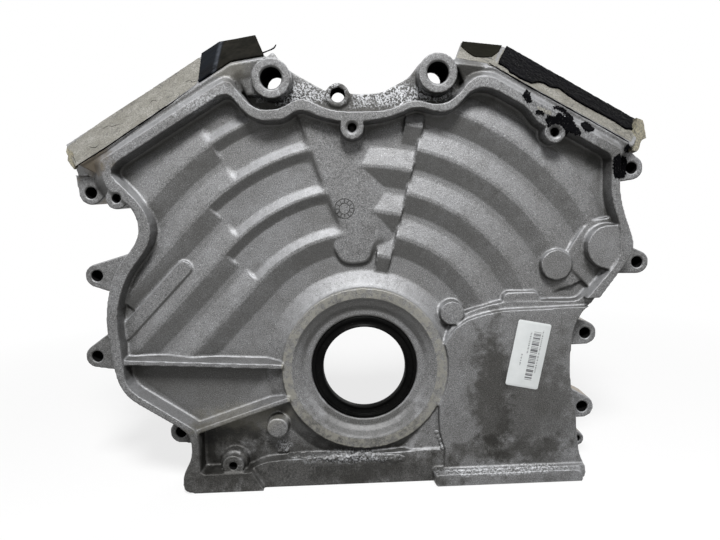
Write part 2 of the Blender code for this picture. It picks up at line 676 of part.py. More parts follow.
def ripple_point(radius, offset, angle):
    """Point of a ripple; past STRAIGHT_FROM it runs on along the tangent."""
    reach = radius + offset
    if angle <= STRAIGHT_FROM:
        return Vector(CRANK) + Vector((math.cos(angle), math.sin(angle))) * reach
    corner = Vector((math.cos(STRAIGHT_FROM), math.sin(STRAIGHT_FROM)))
    along = Vector((-corner.y, corner.x))
    return Vector(CRANK) + corner * reach + along * radius * math.tan(angle - STRAIGHT_FROM)


def ripple(radius, start, end, inner, outer):
    """One raised roll of the wall between two angles."""
    start, end = math.radians(start), math.radians(end)
    bend = min(end, STRAIGHT_FROM)
    steps = max(1, round((bend - start) / RIPPLE_STEP_ANGLE)) if bend > start else 0
    angles = [start + (bend - start) * step / steps for step in range(steps + 1)] if steps else [start]
    if end > bend:
        angles.append(end)
    crest = RECESS_DEPTH - RIPPLE_HEIGHT
    base = RECESS_DEPTH + RIPPLE_SINK
    section = [(-inner, RECESS_DEPTH + SINK), (-inner, base), (-RIPPLE_CREST, crest),
               (RIPPLE_CREST, crest), (outer, base), (outer, RECESS_DEPTH + SINK)]
    rings = []
    for angle in angles:
        ring = []
        for offset, depth in section:
            point = ripple_point(radius, offset, angle)
            ring.append(Vector((point.x, at(depth), point.y)))
        rings.append(ring)
    return skin("ripple", rings)


def ripple_field():
    """All ripples, kept inside the recess and above the long rib."""
    pieces = []
    for crest, spans in LEFT_RIPPLES:
        for start, end, inner, outer in spans:
            pieces.append(ripple(RIPPLE_FIRST + crest * RIPPLE_PITCH, start, end, inner, outer))
    for crest, start, end in RIGHT_RIPPLES + MIDDLE_RIPPLES:
        pieces.append(ripple(RIPPLE_FIRST + crest * RIPPLE_PITCH, start, end, WIDE, WIDE))
    field = pieces[0]
    join(field, *pieces[1:])
    inside = prism("field", grown(rounded(RECESS), SINK), -OVERRUN, 2 * RECESS_DEPTH)
    apply_boolean(field, inside, "INTERSECT")
    below = [LONG_RIB[0] - RIB_RUN_ON, LONG_RIB[1] + RIB_RUN_ON,
             Vector((LONG_RIB[1].x, -CLEAR_BELOW)), Vector((-CLEAR_BESIDE, -CLEAR_BELOW))]
    cut(field, prism("below_rib", below, -OVERRUN, 2 * RECESS_DEPTH))
    return field


LONG_RIB = (Vector((-0.2030, 0.1163)), Vector((-0.0680, 0.1073)))
SLANT_RIB = (Vector((-0.1440, 0.0535)), Vector((-0.0640, 0.0790)))
RIB_RUN_ON = Vector((0.02, -0.0013))


def rib(line, front, root, thickness, foot):
    """Straight tapered rib between two points."""
    start, end = line
    along = (end - start).normalized()
    across = Vector((-along.y, along.x))
    rings = []
    for point in (start, end):
        ring = []
        for side, half, depth in ((-1, foot / 2, root), (-1, thickness / 2, front),
                                  (1, thickness / 2, front), (1, foot / 2, root)):
            place = point + across * side * half
            ring.append(Vector((place.x, at(depth), place.y)))
        rings.append(ring)
    return skin("rib", rings)


# Round pads of the front wall: centre, radius, front depth
PADS = [
    ((0.0750, 0.1471), 0.0100, 0.0060),
    ((0.1635, 0.1843), 0.0128, 0.0090),
    ((0.2047, 0.1986), 0.0183, 0.0020),
    ((-0.0756, 0.0541), 0.0088, 0.0025),
]
RAIL_BOSSES = [((-0.0034, 0.3012), 0.0095), ((0.1582, 0.2923), 0.0086)]
FOOT_BOSS = (-0.1149, 0.0225)
FOOT_BOSS_RADIUS = 0.0092
FOOT_BOSS_DEPTH = 0.0015
SIDE_BOSS = (-0.1939, 0.2520)
SIDE_BOSS_RADIUS = 0.0087
SMALL_EAR = (0.1861, 0.0268)
SMALL_EAR_RADIUS = 0.0064
PAD_DRAFT = 0.0006
FOOT_COLLAR = 0.0024
FOOT_COLLAR_DEPTH = 0.0075
BAR = [((-0.1475, 0.1925), 0.0060), ((-0.2010, 0.1390), 0.0060)]
BAR_DEPTH = 0.0130
BOSS_WEB = [(0.2120, 0.2230, 0.004), (0.1890, 0.2195, 0.010), (0.1690, 0.1885, 0.006),
            (0.1950, 0.1600, 0.002), (0.2130, 0.1850, 0.002)]
RIM_BUMP = [(0.1165, 0.1500, 0.001), (0.1200, 0.1628, 0.004),
            (0.1470, 0.1628, 0.004), (0.1520, 0.1500, 0.001)]

BOSS_WEB_DEPTH = 0.0115
RIM_BUMP_DEPTH = 0.0085


def add_front_details(casting):
    into_floor = RECESS_DEPTH + SINK
    join(casting, ripple_field())
    join(casting, rib(LONG_RIB, RIB_FRONT_DEPTH, into_floor, RIB_THICKNESS, RIB_FOOT))
    join(casting, rib(SLANT_RIB, RIB_FRONT_DEPTH, into_floor, RIB_THICKNESS, RIB_FOOT))
    join(casting, prism("boss_web", rounded(BOSS_WEB), BOSS_WEB_DEPTH, into_floor))
    join(casting, prism("rim_bump", rounded(RIM_BUMP), RIM_BUMP_DEPTH, into_floor))
    top, foot = paired(PLATEAU)
    join(casting, prism("plateau", top, PLATEAU_DEPTH, RECESS_DEPTH + RIPPLE_SINK, foot))
    outline = hull([p for centre, radius in BAR for p in circle(centre, radius, MEDIUM_ROUND)])
    join(casting, prism("bar", outline, BAR_DEPTH, into_floor))
    for centre, radius, front in PADS:
        join(casting, post("pad", centre, radius, front, into_floor, MEDIUM_ROUND, radius + PAD_DRAFT))
    for centre, radius in RAIL_BOSSES:
        join(casting, post("rail_boss", centre, radius, 0.0, into_floor, MEDIUM_ROUND, radius + PAD_DRAFT))
    join(casting, post("foot_boss", FOOT_BOSS, FOOT_BOSS_RADIUS, FOOT_BOSS_DEPTH, into_floor, MEDIUM_ROUND,
                       FOOT_BOSS_RADIUS + PAD_DRAFT))
    collar = FOOT_BOSS_RADIUS + FOOT_COLLAR
    join(casting, post("foot_collar", FOOT_BOSS, collar, FOOT_COLLAR_DEPTH, into_floor, MEDIUM_ROUND,
                       collar + PAD_DRAFT))


def add_crank_boss(casting):
    ring_outer = RING_OUTER_DIAMETER / 2
    join(casting, stack("crank_boss", CRANK, [
        (ring_outer, RING_FACE_DEPTH),
        (ring_outer, RING_FACE_DEPTH + 0.002),
        (ring_outer + 0.0030, RING_FACE_DEPTH + 0.0045),
        (CONE_DIAMETER / 2, RECESS_DEPTH),
        (CONE_DIAMETER / 2, RECESS_DEPTH + SINK),
    ], BIG_ROUND))
    join(casting, stack("back_boss", CRANK, [
        (SEAL_DIAMETER / 2 + 0.012, FLOOR_DEPTH - SINK),
        (SEAL_DIAMETER / 2 + 0.010, FLOOR_DEPTH + BACK_BOSS_HEIGHT),
    ], BIG_ROUND))


def cut_crank_bore(casting):
    bore = SEAL_DIAMETER / 2
    ring_inner = RING_INNER_DIAMETER / 2
    stop = SEAL_FACE_DEPTH + SEAL_WIDTH + 2 * SEAT_GAP
    cut(casting, stack("bore", CRANK, [
        (ring_inner, RING_FACE_DEPTH - 2 * OVERRUN),
        (ring_inner, RING_FACE_DEPTH),
        (ring_inner - 0.0016, RING_FACE_DEPTH + 0.0012),
        (bore + 0.0100, RING_FACE_DEPTH + 0.0028),
        (bore + 0.0060, SEAL_FACE_DEPTH),
        (bore + 0.0008, SEAL_FACE_DEPTH),
        (bore, SEAL_FACE_DEPTH + 0.0010),
        (bore, stop),
        (bore - BORE_STOP, stop),
        (bore - BORE_STOP, FLOOR_DEPTH + BACK_BOSS_HEIGHT + OVERRUN),
    ], BIG_ROUND))


# Ribs of the chain side, from the crank boss to the walls
BACK_RIBS = [
    ((-0.0440, 0.1270), (-0.1900, 0.1760)),
    ((-0.0300, 0.1450), (-0.1480, 0.3200)),
    ((0.0, 0.1500), (0.0, 0.3080)),
    ((0.0300, 0.1450), (0.1480, 0.3200)),
    ((0.0440, 0.1270), (0.2040, 0.1990)),
    ((0.0470, 0.0900), (0.1660, 0.0560)),
    ((-0.0470, 0.0900), (-0.1400, 0.0560)),
]
# Guide posts of the chain side behind the front's round pads: centre, radius
BACK_POSTS = [((0.0750, 0.1471), 0.0095), ((0.1635, 0.1843), 0.0105), ((-0.1300, 0.2150), 0.0095),
              ((-0.0756, 0.0541), 0.0085)]
BACK_POST_DEPTH = 0.040


def add_back_details(casting):
    root = FLOOR_DEPTH - SINK
    for start, end in BACK_RIBS:
        join(casting, rib((Vector(start), Vector(end)), FLOOR_DEPTH + BACK_RIB_HEIGHT, root,
                          BACK_RIB_THICKNESS, BACK_RIB_THICKNESS + 0.002))
    for centre, radius in BACK_POSTS:
        join(casting, post("back_post", centre, radius + PAD_DRAFT, root, BACK_POST_DEPTH, MEDIUM_ROUND,
                           radius))
        cut(casting, post("back_thread", centre, THREAD_HOLE / 2, BACK_POST_DEPTH - THREAD_DEPTH,
                          BACK_POST_DEPTH + OVERRUN))


def through_hole(centre, radius, front, chamfer, count):
    """Cutter for a hole from an ear's or boss's front to beyond the block face."""
    return stack("hole", centre, [
        (radius + chamfer + OVERRUN, front - OVERRUN),
        (radius, front + chamfer),
        (radius, COVER_DEPTH + OVERRUN),
    ], count)


def blind_hole(centre, radius, front, chamfer, deep):
    return stack("blind_hole", centre, [
        (radius + chamfer + OVERRUN, front - OVERRUN),
        (radius, front + chamfer),
        (radius, front + deep),
    ], SMALL_ROUND)


PAN_HOLES = [(-0.0400, 0.0135), (0.0250, 0.0135), (0.0900, 0.0100), (0.1450, 0.0100),
             (-0.1100, 0.0100), (-0.1470, 0.0360), (0.1755, 0.0360)]


def drill(casting):
    for centre, _, _, front in EARS:
        cut(casting, through_hole(centre, BOLT_HOLE / 2, front, 0.0006, SMALL_ROUND))
    for centre in (LEFT_BOSS, RIGHT_BOSS):
        cut(casting, through_hole(centre, BIG_BORE / 2, 0.0, BIG_BOSS_CHAMFER, MEDIUM_ROUND))
    cut(casting, through_hole(SMALL_BOSS, SMALL_BORE / 2, SMALL_BOSS_DEPTH, 0.0004, SMALL_ROUND + 4))
    cut(casting, through_hole(SMALL_EAR, 0.0029, EAR_DEPTH, 0.0004, SMALL_ROUND))
    for centre, _ in RAIL_BOSSES:
        cut(casting, blind_hole(centre, THREAD_HOLE / 2, 0.0, 0.0020, THREAD_DEPTH))
    cut(casting, blind_hole(SIDE_BOSS, THREAD_HOLE / 2, 0.001, 0.0006, THREAD_DEPTH))
    cut(casting, blind_hole(FOOT_BOSS, THREAD_HOLE / 2, FOOT_BOSS_DEPTH, 0.0006, THREAD_DEPTH))
    for x, depth in PAN_HOLES:
        hole = skin("pan_hole", [
            [Vector((p.x, p.y, -OVERRUN)) for p in circle((x, at(depth)), PAN_HOLE / 2, SMALL_ROUND)],
            [Vector((p.x, p.y, PAN_HOLE_DEPTH)) for p in circle((x, at(depth)), PAN_HOLE / 2, SMALL_ROUND)],
        ])
        cut(casting, hole)


def build_casting():
    casting = casting_body()
    join(casting, head_wedge(-1), head_wedge(1))
    settle(casting)
    for stage in (add_ears, add_top_bosses, cut_recess, cut_cavity, shape_lower_front, add_front_details,
                  add_back_details, add_crank_boss, cut_crank_bore, drill):
        stage(casting)
        settle(casting)
    return casting


def build_seal():
    """Pressed-in shaft seal: rubber-covered case, dust lip in front, sealing lip behind."""
    outside = SEAL_DIAMETER / 2 - SEAT_GAP
    lip = SEAL_LIP
    front, back = SEAL_FACE_DEPTH + SEAT_GAP, SEAL_FACE_DEPTH + SEAT_GAP + SEAL_WIDTH
    groove = lip + LIP_WALL
    web = front + SEAL_WEB_INSET
    profile = [
        (outside - 0.0007, front), (outside, front + 0.0010), (outside, back), (outside - 0.0026, back),
        (outside - 0.0030, web + 0.0020), (groove + 0.0007, web + 0.0024),
        (groove, back - SPRING_INSET - 0.0016), (groove, back - SPRING_INSET + 0.0010),
        (groove + 0.0010, back - SPRING_INSET + 0.0016), (groove + 0.0003, back - 0.0014),
        (lip + 0.0008, back - 0.0024), (lip, back - 0.0046), (lip + 0.0012, web + 0.0012),
        (lip + 0.0004, front + 0.0014), (lip + 0.0012, front + 0.0009), (lip + 0.0030, web),
        (outside - 0.0032, web), (outside - 0.0026, front),
    ]
    return turned("crank_seal", profile, CRANK, BIG_ROUND)


def build_spring():
    """Garter spring, lying in the groove of the sealing lip."""
    radius = SEAL_LIP + LIP_WALL + SEAT_GAP + SPRING_WIRE / 2
    depth = SEAL_FACE_DEPTH + SEAT_GAP + SEAL_WIDTH - SPRING_INSET
    profile = [(radius + SPRING_WIRE / 2 * math.cos(a), depth + SPRING_WIRE / 2 * math.sin(a))
               for a in (2 * math.pi * step / 8 for step in range(8))]
    return turned("seal_garter_spring", profile, CRANK, BIG_ROUND)


def build_label():
    """Paper label on the raised panel, leaning a little to the right."""
    half_width, half_length, corner = LABEL_WIDTH / 2, LABEL_LENGTH / 2, 0.002
    flat = rounded([(-half_width, -half_length, corner), (-half_width, half_length, corner),
                    (half_width, half_length, corner), (half_width, -half_length, corner)])
    turn = Matrix.Rotation(LABEL_LEAN, 2)
    outline = [turn @ point + Vector(LABEL_CENTRE) for point in flat]
    back = PANEL_DEPTH - SEAT_GAP
    return prism("part_label", outline, back - LABEL_THICKNESS, back)


def slope_normal(near, far, facing):
    """Outward normal of a head face whose edges both run square to facing."""
    rise, run = (far - near).dot(facing), COVER_DEPTH - HEAD_FACE_DEPTH
    return Vector((facing.x * run, -rise, facing.y * run)).normalized()


def bank_normal(side):
    facing = Vector((side * math.sin(BANK_ANGLE), math.cos(BANK_ANGLE)))
    return slope_normal(facing * HEAD_FACE_NEAR, facing * HEAD_FACE_FAR, facing)


def facet_normal(side):
    _, knee, inner = head_stations(side)
    along = (inner[0] - knee[0]).normalized() * -side
    return slope_normal(knee[0], knee[1], Vector((-along.y, along.x)))


def knee_lift(side):
    """Direction that lifts a point of the knee off both faces by the same distance."""
    first, second = bank_normal(side), facet_normal(side)
    return (first + second) / (1.0 + first.dot(second))


def face_point(near, far, fraction, lift):
    """Point on a head face, fraction of the way from near to far edge, moved off it by a vector."""
    place = near.lerp(far, fraction)
    depth = HEAD_FACE_DEPTH + (COVER_DEPTH - HEAD_FACE_DEPTH) * fraction
    return Vector((place.x, at(depth), place.y)) + lift


# How far a remnant reaches towards the far edge, as a share of the face's width
FAR_SHARE = 0.985


def strip_on_face(name, stations, thickness):
    """Strip lying on a head face; stations are (near edge, far edge, share left bare, lift direction)."""
    rings = []
    for near, far, low, off in stations:
        rings.append([
            face_point(near, far, low, off * SEAT_GAP),
            face_point(near, far, FAR_SHARE, off * SEAT_GAP),
            face_point(near, far, FAR_SHARE, off * (SEAT_GAP + thickness)),
            face_point(near, far, low, off * (SEAT_GAP + thickness)),
        ])
    return skin(name, rings)


def bank_station(side, along, low):
    """Station across the long face; along is measured at the near edge."""
    share = (along - NEAR_KNEE[side]) / (NEAR_END - NEAR_KNEE[side])
    far_along = FAR_KNEE[side] + (FAR_END - FAR_KNEE[side]) * share
    near, far = bank_point(side, HEAD_FACE_NEAR, along), bank_point(side, HEAD_FACE_FAR, far_along)
    return (near, far, low, bank_normal(side))


def facet_station(side, share, low):
    """Station across the short facet, share of the way from the knee to its inner end."""
    _, knee, inner = head_stations(side)
    near, far = knee[0].lerp(inner[0], share), knee[1].lerp(inner[1], share)
    return (near, far, low, facet_normal(side) if share > 0 else knee_lift(side))


# Cut end of the left rubber on the long face: places along the near and the far edge
LEFT_CUT_NEAR = -0.0125
LEFT_CUT_FAR = -0.0240


def build_left_gasket():
    """Black rubber left on the left apex, bent over the knee of the face."""
    cut_end = (bank_point(-1, HEAD_FACE_NEAR, LEFT_CUT_NEAR), bank_point(-1, HEAD_FACE_FAR, LEFT_CUT_FAR),
               0.0, bank_normal(-1))
    stations = [cut_end, facet_station(-1, 0.0, 0.0), facet_station(-1, 0.97, 0.0)]
    return strip_on_face("left_gasket_remnant", stations, LEFT_GASKET_THICKNESS)


# Torn edge of the right strip: place along the near edge, then the share of the face left bare
RIGHT_TEAR = [
    (-0.0245, 0.24), (-0.0238, 0.10), (-0.0185, 0.12), (-0.0147, 0.09), (-0.0122, 0.00), (-0.0087, 0.03),
    (-0.0037, 0.00), (0.0024, 0.02), (0.0079, 0.07), (0.0119, 0.26), (0.0164, 0.34), (0.0223, 0.33),
    (0.0296, 0.48), (0.0394, 0.40), (0.0491, 0.37), (0.0637, 0.39), (0.0833, 0.42), (0.0929, 0.37),
    (0.1050, 0.62),
]


def build_right_gasket():
    """Thin torn strip along the far side of the right face."""
    stations = [bank_station(1, along, bare) for along, bare in RIGHT_TEAR]
    return strip_on_face("right_gasket_remnant", stations, RIGHT_GASKET_THICKNESS)


# Worn edge of the right film: share of the facet from the knee, then the share of its width left bare
RIGHT_WEAR = [(0.05, 0.66), (0.14, 0.36), (0.35, 0.28), (0.56, 0.27), (0.76, 0.45), (0.97, 0.74)]


def build_right_patch():
    """Worn rubber film on the right apex facet."""
    stations = [facet_station(1, share, bare) for share, bare in RIGHT_WEAR]
    return strip_on_face("right_apex_gasket_patch", stations, PATCH_THICKNESS)


def material(name, colour, roughness, metallic):
    surface = bpy.data.materials.new(name)
    surface.use_nodes = True
    shader = surface.node_tree.nodes["Principled BSDF"]
    shader.inputs["Base Color"].default_value = (*colour, 1.0)
    shader.inputs["Roughness"].default_value = roughness
    shader.inputs["Metallic"].default_value = metallic
    return surface


def main():
    for old in list(bpy.data.objects):
        bpy.data.objects.remove(old)
    cast_aluminium = material("cast_aluminium", (0.36, 0.36, 0.37), 0.55, 0.85)
    black_rubber = material("black_rubber", (0.012, 0.012, 0.013), 0.50, 0.0)
    spring_steel = material("spring_steel", (0.45, 0.45, 0.46), 0.30, 1.0)
    white_paper = material("white_paper", (0.78, 0.81, 0.81), 0.60, 0.0)
    dull_rubber = material("dull_rubber", (0.030, 0.028, 0.024), 0.75, 0.0)
    pieces = [
        (build_casting(), cast_aluminium),
        (build_seal(), black_rubber),
        (build_spring(), spring_steel),
        (build_label(), white_paper),
        (build_left_gasket(), black_rubber),
        (build_right_gasket(), black_rubber),
        (build_right_patch(), dull_rubber),
    ]
    for piece, surface in pieces:
        piece.data.materials.clear()
        piece.data.materials.append(surface)


main()
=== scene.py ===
# %% [markdown]
# # A used timing cover in Blender
#
# The object is the front timing cover of a V engine: one big aluminium casting with a rippled
# recessed wall, a ring for the crankshaft seal, two leaning faces for the cylinder heads, and
# the rubber, sealant and oil that stay on such a part when it comes off an engine.
# The engineering model gives the exact solids. This lesson takes them as a frame and gives
# them what a drawing doesn't hold: soft cast corners, skin, stains, wear and remains.

import json
import math

import bpy
from mathutils import Matrix, Vector, noise
from mathutils.bvhtree import BVHTree


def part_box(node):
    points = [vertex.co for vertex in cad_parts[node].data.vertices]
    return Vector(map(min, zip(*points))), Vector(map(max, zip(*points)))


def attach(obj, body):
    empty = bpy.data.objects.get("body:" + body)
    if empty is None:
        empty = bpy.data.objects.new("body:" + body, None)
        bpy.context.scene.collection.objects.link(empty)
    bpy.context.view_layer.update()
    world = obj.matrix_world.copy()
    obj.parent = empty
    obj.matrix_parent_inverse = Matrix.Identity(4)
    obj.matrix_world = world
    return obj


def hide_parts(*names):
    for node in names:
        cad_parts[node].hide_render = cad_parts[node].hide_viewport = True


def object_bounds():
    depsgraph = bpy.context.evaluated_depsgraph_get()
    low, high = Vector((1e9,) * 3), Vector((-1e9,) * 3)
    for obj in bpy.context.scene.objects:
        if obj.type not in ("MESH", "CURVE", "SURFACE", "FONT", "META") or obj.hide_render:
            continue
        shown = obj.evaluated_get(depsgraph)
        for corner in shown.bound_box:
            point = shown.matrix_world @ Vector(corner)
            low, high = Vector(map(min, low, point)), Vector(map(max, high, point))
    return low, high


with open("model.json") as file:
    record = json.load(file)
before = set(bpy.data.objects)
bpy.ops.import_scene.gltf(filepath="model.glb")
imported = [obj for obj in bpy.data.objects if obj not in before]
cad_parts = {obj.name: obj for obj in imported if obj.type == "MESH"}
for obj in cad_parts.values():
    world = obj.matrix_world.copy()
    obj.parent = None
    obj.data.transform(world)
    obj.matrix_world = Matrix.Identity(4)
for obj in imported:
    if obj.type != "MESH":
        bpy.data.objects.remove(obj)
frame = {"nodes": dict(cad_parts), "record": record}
bpy.ops.object.select_all(action="DESELECT")
cad_low, cad_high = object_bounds()
print("solids:", sorted(frame["nodes"]))
print("size of the solids in mm:", [round(1000 * side, 1) for side in cad_high - cad_low])

# %% [markdown]
# ## The camera
#
# A photograph fixes where its camera stood. Parallel edges, the round seal and the leaning
# head faces together say that this one was close, half a metre away, 15 cm higher than the
# seal, and tipped down by under eight degrees. A 30 mm lens on a 36 mm wide sensor sees about
# as much as a phone's main lens does.

# %% Set up the camera
CAMERA_PLACE = Vector((-0.0068, -0.494, 0.2523))
CAMERA_TURN = (82.3726, 1.9823, -0.9470)
CAMERA_LENS = 30
SENSOR_WIDTH = 36


def put_in_scene(name, data):
    """New object with this data, linked to the scene."""
    thing = bpy.data.objects.new(name, data)
    bpy.context.scene.collection.objects.link(thing)
    return thing


camera_data = bpy.data.cameras.new("camera")
camera_data.lens = CAMERA_LENS
camera_data.sensor_width = SENSOR_WIDTH
camera = put_in_scene("camera", camera_data)
camera.location = CAMERA_PLACE
camera.rotation_euler = [math.radians(angle) for angle in CAMERA_TURN]
bpy.context.scene.camera = camera
bpy.context.scene.view_settings.view_transform = "Standard"
print("camera stands", round(CAMERA_PLACE.length, 3), "m from the foot of the cover")

# %% [markdown]
# Remains such as sealant lie where the photograph shows them, so their outlines are easiest to
# give in its own pixels. A line of sight through a pixel meets the face that carries them, and
# from there on the place is a real one, right from any side.

# %% Lines of sight
PHOTO_WIDTH = 720
PHOTO_HEIGHT = 540


def sight(pixel):
    """Direction from the camera through a pixel of the photograph."""
    focal = PHOTO_WIDTH * CAMERA_LENS / SENSOR_WIDTH
    ray = Vector((pixel[0] - PHOTO_WIDTH / 2, PHOTO_HEIGHT / 2 - pixel[1], -focal))
    return (camera.rotation_euler.to_matrix() @ ray).normalized()


def on_plane(pixel, point, normal):
    """Where a pixel's line of sight meets a plane."""
    ray = sight(pixel)
    return CAMERA_PLACE + ray * ((point - CAMERA_PLACE).dot(normal) / ray.dot(normal))


def skin_of(solid):
    """The surface of a solid, ready for questions on where a line meets it."""
    mesh = solid.data
    places = [vertex.co for vertex in mesh.vertices]
    return BVHTree.FromPolygons(places, [tuple(face.vertices) for face in mesh.polygons])


def on_skin(pixel, surface):
    """Where a pixel's line of sight meets a surface, and the surface's direction there."""
    place, normal, _, _ = surface.ray_cast(CAMERA_PLACE, sight(pixel))
    return place, normal


cad_skin = skin_of(frame["nodes"]["timing_cover_casting"])
middle_place, _ = on_skin((PHOTO_WIDTH / 2, PHOTO_HEIGHT / 2), cad_skin)
print("the photograph's middle shows the wall at", [round(1000 * side, 1) for side in middle_place])

# %% [markdown]
# ## Small helpers for material nodes
#
# Each finish below is a small network of nodes. Written out in full, the same three lines
# would come back for every node, so one helper adds a node and sets its sockets by name, and
# others add what comes back most: a noise on the object's own coordinates, a range, a product,
# a distance, a mix of two colours and a bump.


# %% Helpers for nodes
def start_finish(name, roughness=0.5, metallic=0.0):
    """New material with its Principled shader; returns the material, its tree and the shader."""
    finish = bpy.data.materials.new(name)
    finish.use_nodes = True
    shader = finish.node_tree.nodes["Principled BSDF"]
    shader.inputs["Roughness"].default_value = roughness
    shader.inputs["Metallic"].default_value = metallic
    return finish, finish.node_tree, shader


def add_node(tree, kind, sockets=None, **settings):
    """Node of a kind, with its settings and the values of its sockets."""
    node = tree.nodes.new(kind)
    for key, value in settings.items():
        setattr(node, key, value)
    for key, value in (sockets or {}).items():
        node.inputs[key].default_value = value
    return node


def join(source, target):
    """Link between two sockets; a socket knows the tree that it belongs to."""
    target.id_data.links.new(source, target)


def feed_node(kind, values, **settings):
    """Node whose first inputs take these sockets, colours or numbers; returns its outputs."""
    tree = next(value.id_data for value in values if hasattr(value, "id_data"))
    node = add_node(tree, kind, **settings)
    for socket, value in zip(node.inputs, values):
        if hasattr(value, "id_data"):
            join(value, socket)
        else:
            socket.default_value = (*value, 1.0) if isinstance(value, tuple) else value
    return node.outputs


def object_place(tree):
    return add_node(tree, "ShaderNodeTexCoord").outputs["Object"]


def noise_on(place, scale, detail=4.0, roughness=0.6):
    """Noise with features of about 1 / scale metres."""
    sockets = {"Scale": scale, "Detail": detail, "Roughness": roughness}
    node = add_node(place.id_data, "ShaderNodeTexNoise", sockets)
    join(place, node.inputs["Vector"])
    return node.outputs["Fac"]


def spread(value, low, high, start=0.0, end=1.0):
    """Maps a value from low..high to start..end, clamped."""
    return feed_node("ShaderNodeMapRange", (value, low, high, start, end))[0]


def calculate(operation, first, second):
    """Math node; each side is a socket or a number."""
    return feed_node("ShaderNodeMath", (first, second), operation=operation)[0]


def product(result, *factors):
    """Product of sockets and numbers."""
    for factor in factors:
        result = calculate("MULTIPLY", result, factor)
    return result


def mix(share, first, second, kind="MIX"):
    """Mix of two colours; each is a socket or three numbers, and the share may be a number."""
    return feed_node("ShaderNodeMixRGB", (share, first, second), blend_type=kind)[0]


def axes_of(vector):
    """The X, Y and Z of a vector, to be asked for by name."""
    return feed_node("ShaderNodeSeparateXYZ", (vector,))


def length_of(vector):
    return feed_node("ShaderNodeVectorMath", (vector,), operation="LENGTH")["Value"]


def away_from(place, middle, scale=(1.0, 0.0, 1.0)):
    """Distance from a middle, scaled along each axis; as it stands, from a line along Y."""
    mapping = add_node(place.id_data, "ShaderNodeMapping", vector_type="POINT")
    mapping.inputs["Location"].default_value = [-m * s for m, s in zip(middle, scale)]
    mapping.inputs["Scale"].default_value = scale
    join(place, mapping.inputs["Vector"])
    return length_of(mapping.outputs[0])


def bump(shader, height, strength, distance):
    node = add_node(height.id_data, "ShaderNodeBump", {"Strength": strength, "Distance": distance})
    join(height, node.inputs["Height"])
    join(node.outputs["Normal"], shader.inputs["Normal"])


# %% [markdown]
# ## Light and ground
#
# The cover was photographed under a lamp above and in front of it and cut out on white. A
# bright lamp there makes the upward flanks of the ripples shine and leaves their undersides
# dark. Weak lamps fill from the front and the left, and one behind shows the chain side in
# other views. The world is white to the camera and to reflections and throws little light.

# %% Add the lamps: name, place, target, size in metres, power in watts
LAMPS = [
    ("top_lamp", (0.03, -0.90, 1.28), (0.0, 0.0, 0.20), 0.36, 30.0),
    ("front_lamp", (0.50, -1.60, 0.60), (0.0, 0.0, 0.18), 1.20, 1.2),
    ("left_lamp", (-1.30, -0.80, 0.70), (0.0, 0.0, 0.20), 0.80, 1.0),
    ("back_lamp", (0.70, 1.50, 0.80), (0.0, 0.0, 0.20), 0.80, 7.0),
]

for name, place, target, size, power in LAMPS:
    lamp_data = bpy.data.lights.new(name, "AREA")
    lamp_data.shape = "SQUARE"
    lamp_data.size = size
    lamp_data.energy = power
    lamp = put_in_scene(name, lamp_data)
    lamp.location = place
    lamp.rotation_euler = (Vector(target) - Vector(place)).to_track_quat("-Z", "Y").to_euler()
print("lamps:", [lamp[0] for lamp in LAMPS])

# %% Make the world white to the camera
WORLD_FILL = 0.05
PLAIN_WHITE = (1.0, 1.0, 1.0, 1.0)


def white_rays(tree):
    """One for the rays that see plain white: the camera's and those off gloss or through glass."""
    paths = add_node(tree, "ShaderNodeLightPath").outputs
    seen = calculate("MAXIMUM", paths["Is Camera Ray"], paths["Is Glossy Ray"])
    return calculate("MAXIMUM", seen, paths["Is Transmission Ray"])


def mix_shaders(share, first, second, target):
    """Mix of two shaders by a share, joined to a target."""
    join(feed_node("ShaderNodeMixShader", (share, first, second))[0], target)


world = bpy.data.worlds.new("studio")
bpy.context.scene.world = world
world.use_nodes = True
tree = world.node_tree
tree.nodes.clear()
fill = add_node(tree, "ShaderNodeBackground", {"Color": PLAIN_WHITE, "Strength": WORLD_FILL})
white = add_node(tree, "ShaderNodeBackground", {"Color": PLAIN_WHITE, "Strength": 1.0})
output = add_node(tree, "ShaderNodeOutputWorld")
mix_shaders(white_rays(tree), fill.outputs[0], white.outputs[0], output.inputs[0])
print("the world has", len(tree.nodes), "nodes")

# %% [markdown]
# The ground is a sheet of paper that shows the cover's shadow. It glows a little towards the
# camera, more so with distance, so that it ends in the white world without a horizon. To the
# light that it would throw back up on the casting it is dark, which keeps undersides dark.

# %% Lay the ground
GROUND_SIZE = 9.0
GROUND_DROP = 0.0004
GROUND_WHITE = 0.90
GROUND_BOUNCE = 0.15
GROUND_GLOW = 0.76
FADE_START = 0.30
FADE_END = 0.85

bpy.ops.mesh.primitive_plane_add(size=GROUND_SIZE, location=(0.0, 0.0, -GROUND_DROP))
ground = bpy.context.object
ground.name = "ground"
paper, tree, shader = start_finish("white_ground", roughness=0.9)
glow = add_node(tree, "ShaderNodeEmission", {"Color": PLAIN_WHITE, "Strength": 1.0})
bounced = add_node(tree, "ShaderNodeLightPath").outputs["Is Diffuse Ray"]
lit = mix(bounced, (GROUND_WHITE,) * 3, (GROUND_BOUNCE,) * 3)
join(lit, shader.inputs["Base Color"])
away = length_of(object_place(tree))
white_share = spread(away, FADE_START, FADE_END, GROUND_GLOW, 1.0)
mix_shaders(product(white_rays(tree), white_share), shader.outputs[0],
            glow.outputs[0], tree.nodes["Material Output"].inputs["Surface"])
ground.data.materials.append(paper)
bpy.ops.object.select_all(action="DESELECT")
print("the ground fades to white from", FADE_START, "to", FADE_END, "m")

